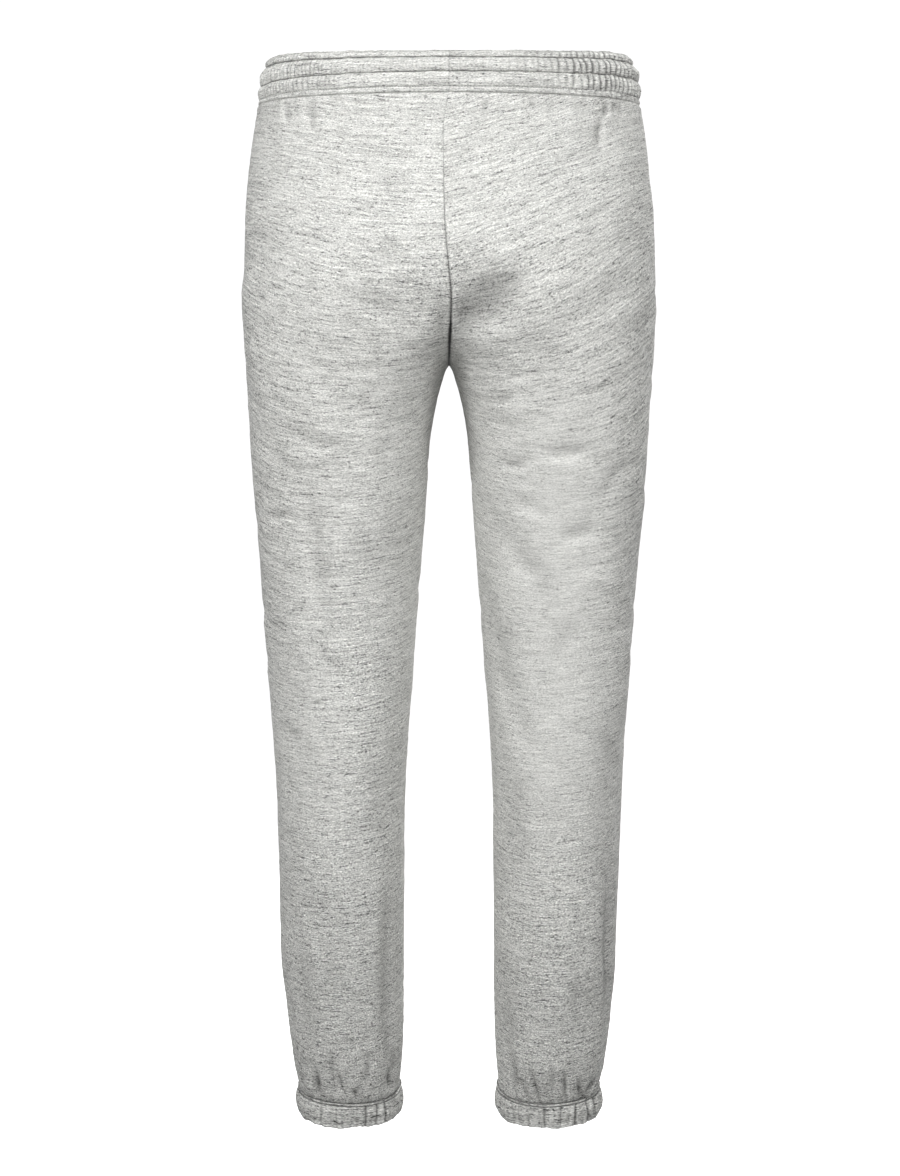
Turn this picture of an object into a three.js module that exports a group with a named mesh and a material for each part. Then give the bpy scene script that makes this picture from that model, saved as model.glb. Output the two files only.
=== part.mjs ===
import * as THREE from 'three';

// Jogger sweatpants, worn shape with no wearer, in millimetres.
// X runs to the wearer's left, the front faces -Y, +Z is up.
// The origin is the middle of the waist, at half the height of the waistband.
// Every cut piece is a wall of cloth of its own: two backs, two fronts, the
// waistband and two cuffs. One leg is a tube of level sections; above the
// crotch a section is cut off at the middle plane, where the seat seam and the
// front rise lie, and below it the section closes on the inseam.

// ------------------------------------------------------------------ sizes
const CLOTH = 2.0;          // sweatshirt cloth, brushed inside
const BAND_CLOTH = 3.0;     // waistband, cloth folded over elastic
const CUFF_CLOTH = 2.6;     // cuff, cloth folded over elastic
const GAP = 0.3;            // between pieces at every seam

const WAIST_SEAM = -19.0;   // where the waistband is sewn on
const CROTCH = -262.5;      // where the four leg pieces meet
const BLOUSE = -850.0;      // where the leg begins to draw in to the cuff
const CUFF_SEAM = -936.0;   // where the cuff is sewn on, at the side

const ACROSS = 10;          // steps across one leg piece
const SEAT_ROWS = 13;       // rows from waist seam to crotch
const LEG_ROWS = 14;        // rows from crotch to the ankle's fullness
const ANKLE_ROWS = 6;       // rows of the ankle's fullness
const CROWD = 1.7;          // how much the rows crowd towards the crotch

// Sections of the left leg tube, from the waist down.
// out: middle plane to the side seam. crest: middle plane to where the section
// is deepest. inn: middle plane to the inseam, below zero where the tube is cut
// off by the middle plane. back, front: depth from the section's own middle,
// which lies at mid. nIn, nOut: how square the
// section is on its inner and outer half (2 is an ellipse). drop: how far the
// section leans down for each millimetre towards the back.
const SECTIONS = table(
  ['z', 'out', 'crest', 'inn', 'back', 'front', 'mid', 'nIn', 'nOut', 'drop'], [
  [-19.0, 179.5, 0.0, -179.5, 100.0, 100.0, 0.0, 2.10, 2.10, 0],
  [-51.0, 183.7, 6.0, -172.0, 110.0, 105.0, 1.0, 2.10, 2.15, 0],
  [-89.0, 187.9, 13.0, -163.0, 120.0, 109.0, 2.0, 2.15, 2.15, 0],
  [-126.0, 190.7, 20.5, -150.0, 127.5, 111.0, 3.0, 2.15, 2.20, 0],
  [-164.0, 192.5, 31.0, -128.0, 130.5, 111.5, 4.0, 2.20, 2.20, 0],
  [-190.0, 194.0, 42.0, -104.0, 129.5, 111.0, 4.2, 2.25, 2.20, 0],
  [-210.0, 194.0, 52.0, -79.0, 126.5, 110.0, 4.3, 2.35, 2.20, 0],
  [-228.0, 193.0, 62.0, -51.0, 122.5, 108.5, 4.3, 2.45, 2.20, 0],
  [-241.0, 192.4, 69.5, -30.0, 119.0, 107.0, 4.3, 2.50, 2.20, 0],
  [-251.0, 192.0, 75.0, -14.5, 116.2, 106.0, 4.2, 2.55, 2.20, 0],
  [-258.0, 191.5, 79.0, -5.0, 114.2, 105.4, 4.1, 2.60, 2.20, 0],
  [-262.5, 191.2, 81.2, 0.0, 113.0, 105.0, 4.0, 2.60, 2.20, 0],
  [-267.3, 190.7, 83.4, 2.8, 111.6, 104.5, 3.9, 2.60, 2.20, 0],
  [-276.7, 190.1, 87.0, 6.1, 109.1, 103.5, 3.6, 2.55, 2.20, 0],
  [-295.4, 188.8, 92.0, 11.3, 105.0, 101.8, 3.0, 2.45, 2.18, 0],
  [-333.0, 186.0, 97.5, 17.8, 98.8, 98.6, 1.8, 2.30, 2.15, 0],
  [-389.0, 182.0, 101.0, 22.1, 92.0, 94.0, 0.6, 2.20, 2.10, 0],
  [-464.5, 176.4, 101.8, 27.3, 85.0, 88.0, 0.2, 2.10, 2.10, 0],
  [-539.7, 170.3, 101.8, 33.4, 80.0, 82.0, 1.6, 2.10, 2.10, 0],
  [-614.7, 164.3, 101.4, 38.5, 77.0, 76.5, 5.0, 2.10, 2.10, 0],
  [-689.5, 160.3, 101.0, 41.7, 73.5, 71.0, 9.0, 2.10, 2.10, 0],
  [-764.0, 157.4, 99.8, 42.2, 69.0, 66.0, 12.0, 2.10, 2.10, 0],
  [-820.0, 155.5, 98.8, 42.1, 64.5, 62.0, 13.3, 2.10, 2.10, 0],
  [-857.7, 151.8, 97.0, 42.1, 60.0, 58.0, 13.5, 2.10, 2.10, 0.03],
  [-895.0, 147.9, 95.6, 43.2, 55.0, 53.5, 13.6, 2.10, 2.10, 0.13],
  [-914.0, 145.2, 94.9, 44.5, 51.5, 50.5, 13.1, 2.10, 2.10, 0.20],
  [-928.0, 142.0, 93.9, 45.8, 46.5, 46.5, 12.8, 2.10, 2.10, 0.25],
  [-936.0, 139.8, 93.1, 46.3, 42.5, 43.0, 12.6, 2.10, 2.10, 0.27],
]);

// The waistband's outside, from its seam to its top edge, at the middle of the
// back. inset: how far it has drawn in from the seam. liftL, liftR: how much
// higher the same stitch line runs at the left and at the right side.
const BAND = rowsOf(['z', 'inset', 'liftL', 'liftR'], [
  [-18.85, 0.2, 0.0, 0.0],    // seam
  [-13.9, 1.3, -0.5, 0.8],    // first stitch line
  [-6.8, 1.3, -1.2, 1.8],     // wide channel
  [0.4, 2.9, -1.9, 3.0],      // second stitch line
  [7.4, 3.4, 0.2, 4.0],       // wide channel
  [14.0, 7.4, 2.3, 5.0],      // third stitch line
  [17.6, 8.4, 3.4, 5.8],      // narrow top channel
  [19.6, 11.0, 4.4, 6.6],     // top edge
]);

// A cuff's outside, from its seam to its hem. swell: how far it stands out
// from the section at its seam.
const CUFF = rowsOf(['z', 'swell'], [
  [-936.3, 0.3],
  [-941.5, 2.5],
  [-949.5, 3.6],
  [-956.0, 2.4],
  [-959.5, 0.2],
]);

// The largest folds, as soft troughs (depth below zero) and ridges. side: +1
// on the back, -1 on the front. x1, z1 to x2, z2: where the fold runs, seen
// from behind. width: its half width. depth: its greatest depth.
const FOLDS = rowsOf(['side', 'x1', 'z1', 'x2', 'z2', 'width', 'depth'], [
  [1, -8, -232, -66, -190, 14, -4.5],     // under the seat, right
  [1, 8, -238, 40, -205, 12, -2.5],       // under the seat, left
  [1, -42, -410, -96, -482, 16, -2.2],    // right thigh, falling outwards
  [1, -92, -352, -132, -340, 14, -1.8],   // right thigh, level
  [1, 130, -390, 112, -505, 14, -2.2],    // left thigh, down to the knee
  [1, -30, -450, -70, -610, 14, -2.0],    // right inner knee
  [1, 56, -780, 52, -920, 10, -2.2],      // left calf, inner side
  [1, -146, -820, -143, -915, 9, -1.8],   // right calf, outer side
  [-1, 10, -236, 70, -200, 16, -4.0],     // front of the hip, left
  [-1, -10, -236, -66, -206, 16, -3.5],   // front of the hip, right
  [-1, 44, -470, 118, -500, 18, -2.4],    // front of the knee, left
  [-1, -52, -500, -120, -476, 18, -2.4],  // front of the knee, right
]);

const COLOURS = { cloth: 0xb9bab6, band: 0xc2c3bf, cuff: 0xaaaba7 };

// ---------------------------------------------------------------- helpers
function rowsOf(columns, rows) {
  return rows.map((row) => Object.fromEntries(columns.map((name, k) => [name, row[k]])));
}

// A table read at any level z: each named column is a smooth curve that never
// swings past its own rows. The inseam column is read as a signed square, so
// that the gap between the legs opens as a round arch.
function table(columns, rows) {
  const list = rowsOf(columns, rows);
  const at = list.map((row) => -row.z);
  const curves = {};
  for (const name of columns.slice(1)) {
    const square = name === 'inn';
    const v = list.map((row) => (square ? row[name] * Math.abs(row[name]) : row[name]));
    const read = curve(at, v);
    curves[name] = square
      ? (s) => { const q = read(s); return Math.sign(q) * Math.sqrt(Math.abs(q)); }
      : read;
  }
  return (z) => {
    const out = { z };
    for (const name in curves) out[name] = curves[name](-z);
    return out;
  };
}

function curve(x, y) {
  const n = x.length, h = [], d = [], m = new Array(n).fill(0);
  for (let i = 0; i < n - 1; i++) { h.push(x[i + 1] - x[i]); d.push((y[i + 1] - y[i]) / h[i]); }
  for (let i = 1; i < n - 1; i++) {
    if (d[i - 1] * d[i] > 0) {
      const a = 2 * h[i] + h[i - 1], b = h[i] + 2 * h[i - 1];
      m[i] = (a + b) / (a / d[i - 1] + b / d[i]);
    }
  }
  m[0] = d[0]; m[n - 1] = d[n - 2];
  return (s) => {
    if (s <= x[0]) return y[0];
    if (s >= x[n - 1]) return y[n - 1];
    let i = 0;
    while (s > x[i + 1]) i++;
    const t = (s - x[i]) / h[i], t2 = t * t, t3 = t2 * t;
    return (2 * t3 - 3 * t2 + 1) * y[i] + (t3 - 2 * t2 + t) * h[i] * m[i]
      + (3 * t2 - 2 * t3) * y[i + 1] + (t3 - t2) * h[i] * m[i + 1];
  };
}

// Half of one section as a line measured along its own length: side +1 from
// the seat seam or inseam round the back to the side seam, side -1 the same
// round the front.
const arcCache = new Map();
function arc(z, side) {
  const key = `${side}/${z.toFixed(5)}`;
  if (arcCache.has(key)) return arcCache.get(key);
  const s = SECTIONS(z), N = 260;
  const cx = s.crest, wideIn = cx - s.inn, wideOut = s.out - cx;
  const depth = side > 0 ? s.back : s.front;
  const cut = Math.min(1, cx / wideIn); // 1 where the section closes
  const t0 = cut >= 1 ? Math.PI : Math.PI - Math.acos(Math.pow(cut, s.nIn / 2));
  const pts = [];
  for (let k = 0; k <= N; k++) {
    const t = t0 * (1 - k / N), c = Math.cos(t), q = Math.sin(t);
    const n = c < 0 ? s.nIn : s.nOut;
    const x = cx + (c < 0 ? wideIn : wideOut) * Math.sign(c) * Math.pow(Math.abs(c), 2 / n);
    const y = side * depth * Math.pow(Math.max(0, q), 2 / n);
    pts.push([k === 0 && cut < 1 ? 0 : x, y]);
  }
  const run = [0];
  for (let k = 1; k <= N; k++) {
    run.push(run[k - 1] + Math.hypot(pts[k][0] - pts[k - 1][0], pts[k][1] - pts[k - 1][1]));
  }
  const out = { s, pts, run, length: run[N], closed: cut >= 1 };
  arcCache.set(key, out);
  return out;
}

// The length of a half section without the quick change at the crotch, so that
// the lines across the cloth stay level there and only the fork takes it up.
const evenCache = new Map();
function evenLength(z, side) {
  const key = `${side}/${z.toFixed(5)}`;
  if (!evenCache.has(key)) {
    let sum = 0, weight = 0;
    for (let k = -6; k <= 6; k++) {
      const at = Math.min(WAIST_SEAM, Math.max(CUFF_SEAM, z + k * 7)), w = 7 - Math.abs(k);
      sum += w * arc(at, side).length; weight += w;
    }
    evenCache.set(key, sum / weight);
  }
  return evenCache.get(key);
}

// A point of the left leg tube: f runs from 0 at the seat seam or inseam to 1
// at the side seam. apart keeps the halves off the middle plane.
function pointAt(z, side, f, apart = GAP / 2) {
  const line = arc(z, side), even = evenLength(z, side);
  const g = 1 - Math.min(1, Math.max(0, f));
  const want = Math.max(0, line.length - even * g - (line.length - even) * Math.pow(g, 4));
  let lo = 0, hi = line.run.length - 1;
  while (hi - lo > 1) { const m = (lo + hi) >> 1; if (line.run[m] <= want) lo = m; else hi = m; }
  const t = (want - line.run[lo]) / (line.run[hi] - line.run[lo] || 1);
  const x = line.pts[lo][0] + t * (line.pts[hi][0] - line.pts[lo][0]);
  const y = line.pts[lo][1] + t * (line.pts[hi][1] - line.pts[lo][1]);
  return new THREE.Vector3(x + apart, y + line.s.mid, z - line.s.drop * y);
}

// Outward direction of the tube at the same place. Across the side seam and
// the inseam it is taken over both pieces, so their edges run parallel.
function outward(z, side, f) {
  const df = 0.012, dz = 1.2;
  const walk = (w) => {                 // w past 1 goes on round the other side
    if (w > 1) return pointAt(z, -side, 2 - w);
    if (w < 0) return arc(z, side).closed ? pointAt(z, -side, -w) : pointAt(z, side, 0);
    return pointAt(z, side, w);
  };
  const along = walk(f + df).sub(walk(f - df));
  const down = pointAt(Math.max(z - dz, CUFF_SEAM), side, f)
    .sub(pointAt(Math.min(z + dz, WAIST_SEAM), side, f));
  return along.cross(down).multiplyScalar(side).normalize();
}

function foldDepth(p, side) {
  let d = 0;
  for (const fold of FOLDS) {
    if (fold.side !== side) continue;
    const vx = fold.x2 - fold.x1, vz = fold.z2 - fold.z1, L2 = vx * vx + vz * vz;
    const t = ((p.x - fold.x1) * vx + (p.z - fold.z1) * vz) / L2;
    const tc = Math.min(1.25, Math.max(-0.25, t));
    const off = Math.hypot(p.x - fold.x1 - tc * vx, p.z - fold.z1 - tc * vz) / fold.width;
    const ends = Math.cos(Math.PI * Math.min(0.5, Math.abs(tc - 0.5) / 1.5));
    d += fold.depth * Math.exp(-off * off) * ends;
  }
  return d;
}

const ease = (t) => { const c = Math.min(1, Math.max(0, t)); return c * c * (3 - 2 * c); };

function levels() {
  const out = [];
  const top = WAIST_SEAM - GAP / 2, foot = CUFF_SEAM + GAP / 2;
  for (let k = 0; k < SEAT_ROWS; k++) out.push(CROTCH + (top - CROTCH) * Math.pow(1 - k / SEAT_ROWS, CROWD));
  for (let k = 0; k < LEG_ROWS; k++) out.push(CROTCH + (BLOUSE - CROTCH) * Math.pow(k / LEG_ROWS, CROWD));
  for (let k = 0; k <= ANKLE_ROWS; k++) out.push(BLOUSE + (foot - BLOUSE) * k / ANKLE_ROWS);
  return out;
}

// One leg piece: rows of outside points and of inside points a wall behind.
function legPiece(hand, side, name) {
  const outer = [], inner = [];
  for (const z of levels()) {
    const line = arc(z, side), trim = GAP / 2 / line.length;
    const from = line.closed ? trim : 0, to = 1 - trim;
    const rowO = [], rowI = [];
    for (let k = 0; k <= ACROSS; k++) {
      const f = from + (to - from) * k / ACROSS;
      const p = pointAt(z, side, f), n = outward(z, side, f);
      const seen = new THREE.Vector3(p.x * hand, p.y, p.z);
      const near = line.closed ? 1 : ease(1 - (z - CROTCH) / 30);
      const edge = ease((1 - f) / 0.25) * ease((WAIST_SEAM - z) / 25) * ease((z - CUFF_SEAM) / 12)
        * (1 - near + near * ease(f / 0.2));
      p.y += side * foldDepth(seen, side) * edge;     // folds press in from the back or front
      rowO.push(p.clone());
      rowI.push(p.clone().addScaledVector(n, -CLOTH));
    }
    outer.push(rowO); inner.push(rowI);
  }
  return wall(outer, inner, false, -hand * side, hand, name);
}

// A closed wall from matching rows outside and inside. turn is +1 where the
// rows run the way that makes the outside face out.
function wall(outer, inner, ring, turn, hand, name) {
  const R = outer.length, C = outer[0].length, at = [];
  for (const rows of [outer, inner]) for (const row of rows) for (const p of row) at.push(p.x * hand, p.y, p.z);
  const o = (r, c) => r * C + (c % C), i = (r, c) => R * C + r * C + (c % C);
  const tri = [];
  const quad = (a, b, c, d) => (turn > 0 ? tri.push(a, b, c, a, c, d) : tri.push(a, c, b, a, d, c));
  const across = ring ? C : C - 1;
  for (let r = 0; r < R - 1; r++) {
    for (let c = 0; c < across; c++) {
      quad(o(r, c), o(r + 1, c), o(r + 1, c + 1), o(r, c + 1));
      quad(i(r, c), i(r, c + 1), i(r + 1, c + 1), i(r + 1, c));
    }
  }
  for (let c = 0; c < across; c++) {
    quad(o(0, c), o(0, c + 1), i(0, c + 1), i(0, c));
    quad(o(R - 1, c), i(R - 1, c), i(R - 1, c + 1), o(R - 1, c + 1));
  }
  if (!ring) {
    for (let r = 0; r < R - 1; r++) {
      quad(o(r, 0), i(r, 0), i(r + 1, 0), o(r + 1, 0));
      quad(o(r, C - 1), o(r + 1, C - 1), i(r + 1, C - 1), i(r, C - 1));
    }
  }
  const geometry = new THREE.BufferGeometry();
  geometry.setAttribute('position', new THREE.Float32BufferAttribute(at, 3));
  geometry.setIndex(tri);
  geometry.computeVertexNormals();
  geometry.name = name;
  return geometry;
}

// The line of a whole leg section, back then front, as places on the tube.
function roundLeg() {
  const out = [];
  for (let k = 0; k <= ACROSS; k++) out.push([1, k / ACROSS]);
  for (let k = ACROSS - 1; k > 0; k--) out.push([-1, k / ACROSS]);
  return out;
}

function cuffPiece(hand, name) {
  const outer = [], inner = [];
  for (const row of CUFF) {
    const rowO = [], rowI = [];
    for (const [side, f] of roundLeg()) {
      const p = pointAt(CUFF_SEAM, side, f), n = levelOut(CUFF_SEAM, side, f);
      p.z += row.z - CUFF_SEAM;
      rowO.push(p.clone().addScaledVector(n, row.swell));
      rowI.push(p.clone().addScaledVector(n, Math.min(row.swell, 2.4) - CUFF_CLOTH));
    }
    outer.push(rowO); inner.push(rowI);
  }
  return wall(outer, inner, true, -hand, hand, name);
}

// Outward direction in the section's own plane.
function levelOut(z, side, f) {
  const df = 0.012;
  const walk = (w) => {
    if (w > 1) return pointAt(z, -side, 2 - w, 0);
    if (w < 0) {
      if (arc(z, side).closed) return pointAt(z, -side, -w, 0);
      const p = pointAt(z, side, -w, 0); p.x = -p.x; return p;
    }
    return pointAt(z, side, w, 0);
  };
  const along = walk(f + df).sub(walk(f - df));
  return new THREE.Vector3(along.y, -along.x, 0).multiplyScalar(-side).normalize();
}

function bandPiece(name) {
  const outer = [], inner = [];
  const walk = [];
  for (let k = 0; k <= ACROSS; k++) walk.push([1, 1, k / ACROSS]);            // back, left
  for (let k = ACROSS - 1; k >= 0; k--) walk.push([1, -1, k / ACROSS]);       // front, left
  for (let k = 1; k <= ACROSS; k++) walk.push([-1, -1, k / ACROSS]);          // front, right
  for (let k = ACROSS - 1; k >= 1; k--) walk.push([-1, 1, k / ACROSS]);       // back, right
  for (const row of BAND) {
    const rowO = [], rowI = [];
    for (const [hand, side, f] of walk) {
      const p = pointAt(WAIST_SEAM, side, f, 0), n = levelOut(WAIST_SEAM, side, f);
      const out = p.x / 179.5;
      p.z = row.z + (hand > 0 ? row.liftL : row.liftR) * out * out;
      const o = p.clone().addScaledVector(n, -row.inset);
      const i = p.clone().addScaledVector(n, -Math.max(row.inset, 1.2) - BAND_CLOTH);
      o.x *= hand; i.x *= hand;
      rowO.push(o); rowI.push(i);
    }
    outer.push(rowO); inner.push(rowI);
  }
  return wall(outer, inner, true, 1, 1, name);
}

// ------------------------------------------------------------------ pieces
const sweatpants = new THREE.Group();
function add(name, geometry, colour, roughness) {
  const mesh = new THREE.Mesh(geometry, new THREE.MeshStandardMaterial({ color: colour, roughness, metalness: 0 }));
  mesh.name = name;
  sweatpants.add(mesh);
}

add('back_left', legPiece(1, 1, 'back_left'), COLOURS.cloth, 0.95);
add('back_right', legPiece(-1, 1, 'back_right'), COLOURS.cloth, 0.95);
add('front_left', legPiece(1, -1, 'front_left'), COLOURS.cloth, 0.95);
add('front_right', legPiece(-1, -1, 'front_right'), COLOURS.cloth, 0.95);
add('waistband', bandPiece('waistband'), COLOURS.band, 0.95);
add('cuff_left', cuffPiece(1, 'cuff_left'), COLOURS.cuff, 0.95);
add('cuff_right', cuffPiece(-1, 'cuff_right'), COLOURS.cuff, 0.95);

export default sweatpants;
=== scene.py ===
import math

import bpy
import numpy as np
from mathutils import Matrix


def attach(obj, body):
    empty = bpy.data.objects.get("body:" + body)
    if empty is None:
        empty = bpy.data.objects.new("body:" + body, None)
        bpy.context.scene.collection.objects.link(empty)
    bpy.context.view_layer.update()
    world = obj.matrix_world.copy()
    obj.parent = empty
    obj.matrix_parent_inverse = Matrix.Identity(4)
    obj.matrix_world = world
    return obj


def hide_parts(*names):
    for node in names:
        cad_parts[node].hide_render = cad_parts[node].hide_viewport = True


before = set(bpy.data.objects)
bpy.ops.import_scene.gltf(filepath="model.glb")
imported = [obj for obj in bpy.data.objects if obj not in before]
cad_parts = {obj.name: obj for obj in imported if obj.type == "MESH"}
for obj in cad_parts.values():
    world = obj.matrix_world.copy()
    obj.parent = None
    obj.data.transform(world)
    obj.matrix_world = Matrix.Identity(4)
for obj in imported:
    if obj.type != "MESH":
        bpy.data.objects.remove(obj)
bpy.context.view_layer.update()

# Jogger sweatpants in worn form with no wearer. Lengths are millimetres until
# a mesh is made. X runs to the wearer's left, the front faces -Y, +Z is up.
CLOTH = 2.0            # sweatshirt cloth, brushed inside
BAND_CLOTH = 3.0       # waistband wall
CUFF_CLOTH = 2.6       # cuff wall
WAIST_SEAM = -19.0
CROTCH = -262.5
CUFF_SEAM = -936.0
SEAM = 0.02            # what the finished pieces leave between them at a seam

# ---------------------------------------------------------------- the form
SECTION_COLUMNS = ("z", "out", "crest", "inn", "back", "front", "mid", "nIn", "nOut", "drop")
SECTIONS = np.array([
    (-19.0, 179.5, 0.0, -179.5, 100.0, 100.0, 0.0, 2.10, 2.10, 0),
    (-51.0, 183.7, 6.0, -172.0, 110.0, 105.0, 1.0, 2.10, 2.15, 0),
    (-89.0, 187.9, 13.0, -163.0, 120.0, 109.0, 2.0, 2.15, 2.15, 0),
    (-126.0, 190.7, 20.5, -150.0, 127.5, 111.0, 3.0, 2.15, 2.20, 0),
    (-164.0, 192.5, 31.0, -128.0, 130.5, 111.5, 4.0, 2.20, 2.20, 0),
    (-190.0, 194.0, 42.0, -104.0, 129.5, 111.0, 4.2, 2.25, 2.20, 0),
    (-210.0, 194.0, 52.0, -79.0, 126.5, 110.0, 4.3, 2.35, 2.20, 0),
    (-228.0, 193.0, 62.0, -51.0, 122.5, 108.5, 4.3, 2.45, 2.20, 0),
    (-241.0, 192.4, 69.5, -30.0, 119.0, 107.0, 4.3, 2.50, 2.20, 0),
    (-251.0, 192.0, 75.0, -14.5, 116.2, 106.0, 4.2, 2.55, 2.20, 0),
    (-258.0, 191.5, 79.0, -5.0, 114.2, 105.4, 4.1, 2.60, 2.20, 0),
    (-262.5, 191.2, 81.2, 0.0, 113.0, 105.0, 4.0, 2.60, 2.20, 0),
    (-267.3, 190.7, 83.4, 2.8, 111.6, 104.5, 3.9, 2.60, 2.20, 0),
    (-276.7, 190.1, 87.0, 6.1, 109.1, 103.5, 3.6, 2.55, 2.20, 0),
    (-295.4, 188.8, 92.0, 11.3, 105.0, 101.8, 3.0, 2.45, 2.18, 0),
    (-333.0, 186.0, 97.5, 17.8, 98.8, 98.6, 1.8, 2.30, 2.15, 0),
    (-389.0, 182.0, 101.0, 22.1, 92.0, 94.0, 0.6, 2.20, 2.10, 0),
    (-464.5, 176.4, 101.8, 27.3, 85.0, 88.0, 0.2, 2.10, 2.10, 0),
    (-539.7, 170.3, 101.8, 33.4, 80.0, 82.0, 1.6, 2.10, 2.10, 0),
    (-614.7, 164.3, 101.4, 38.5, 77.0, 76.5, 5.0, 2.10, 2.10, 0),
    (-689.5, 160.3, 101.0, 41.7, 73.5, 71.0, 9.0, 2.10, 2.10, 0),
    (-764.0, 157.4, 99.8, 42.2, 69.0, 66.0, 12.0, 2.10, 2.10, 0),
    (-820.0, 155.5, 98.8, 42.1, 64.5, 62.0, 13.3, 2.10, 2.10, 0),
    (-857.7, 151.8, 97.0, 42.1, 60.0, 58.0, 13.5, 2.10, 2.10, 0.03),
    (-895.0, 147.9, 95.6, 43.2, 55.0, 53.5, 13.6, 2.10, 2.10, 0.13),
    (-914.0, 145.2, 94.9, 44.5, 51.5, 50.5, 13.1, 2.10, 2.10, 0.20),
    (-928.0, 142.0, 93.9, 45.8, 46.5, 46.5, 12.8, 2.10, 2.10, 0.25),
    (-936.0, 139.8, 93.1, 46.3, 42.5, 43.0, 12.6, 2.10, 2.10, 0.27),
])

# Waistband, outside, from its seam up. inset: drawn in from the seam. liftL,
# liftR: how much higher the same line runs at the left and at the right side.
BAND = np.array([
    (-18.85, 0.2, 0.0, 0.0), (-13.9, 1.3, -0.5, 0.8), (-6.8, 1.3, -1.2, 1.8),
    (0.4, 2.9, -1.9, 3.0), (7.4, 3.4, 0.2, 4.0), (14.0, 7.4, 2.3, 5.0),
    (17.6, 8.4, 3.4, 5.8), (19.6, 11.0, 4.4, 6.6),
])
BAND_LINES = (-19.0, -13.9, 0.4, 14.0, 20.2)      # seam, three stitch lines, top fold
BAND_FULL = (0.5, 1.7, 1.7, 1.1)                  # how far each channel swells

# Cuff, outside, from its seam to its hem. swell: how far it stands out.
CUFF = np.array([(-936.3, 0.3), (-941.5, 2.5), (-949.5, 3.6), (-956.0, 2.4), (-959.5, 0.2)])
CUFF_LINES = (0.0, 2.7)                           # seam and stitch line, below the seam

# The largest folds, which the solids have too. side: +1 back, -1 front.
FOLDS = (  # side, x1, z1, x2, z2, width, depth
    (1, -8, -232, -66, -190, 14, -4.5),
    (1, 8, -238, 40, -205, 12, -2.5),
    (1, -42, -410, -96, -482, 16, -2.2),
    (1, -92, -352, -132, -340, 14, -1.8),
    (1, 130, -390, 112, -505, 14, -2.2),
    (1, -30, -450, -70, -610, 14, -2.0),
    (1, 56, -780, 52, -920, 10, -2.2),
    (1, -146, -820, -143, -915, 9, -1.8),
    (-1, 10, -236, 70, -200, 16, -4.0),
    (-1, -10, -236, -66, -206, 16, -3.5),
    (-1, 44, -470, 118, -500, 18, -2.4),
    (-1, -52, -500, -120, -476, 18, -2.4),
)

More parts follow.
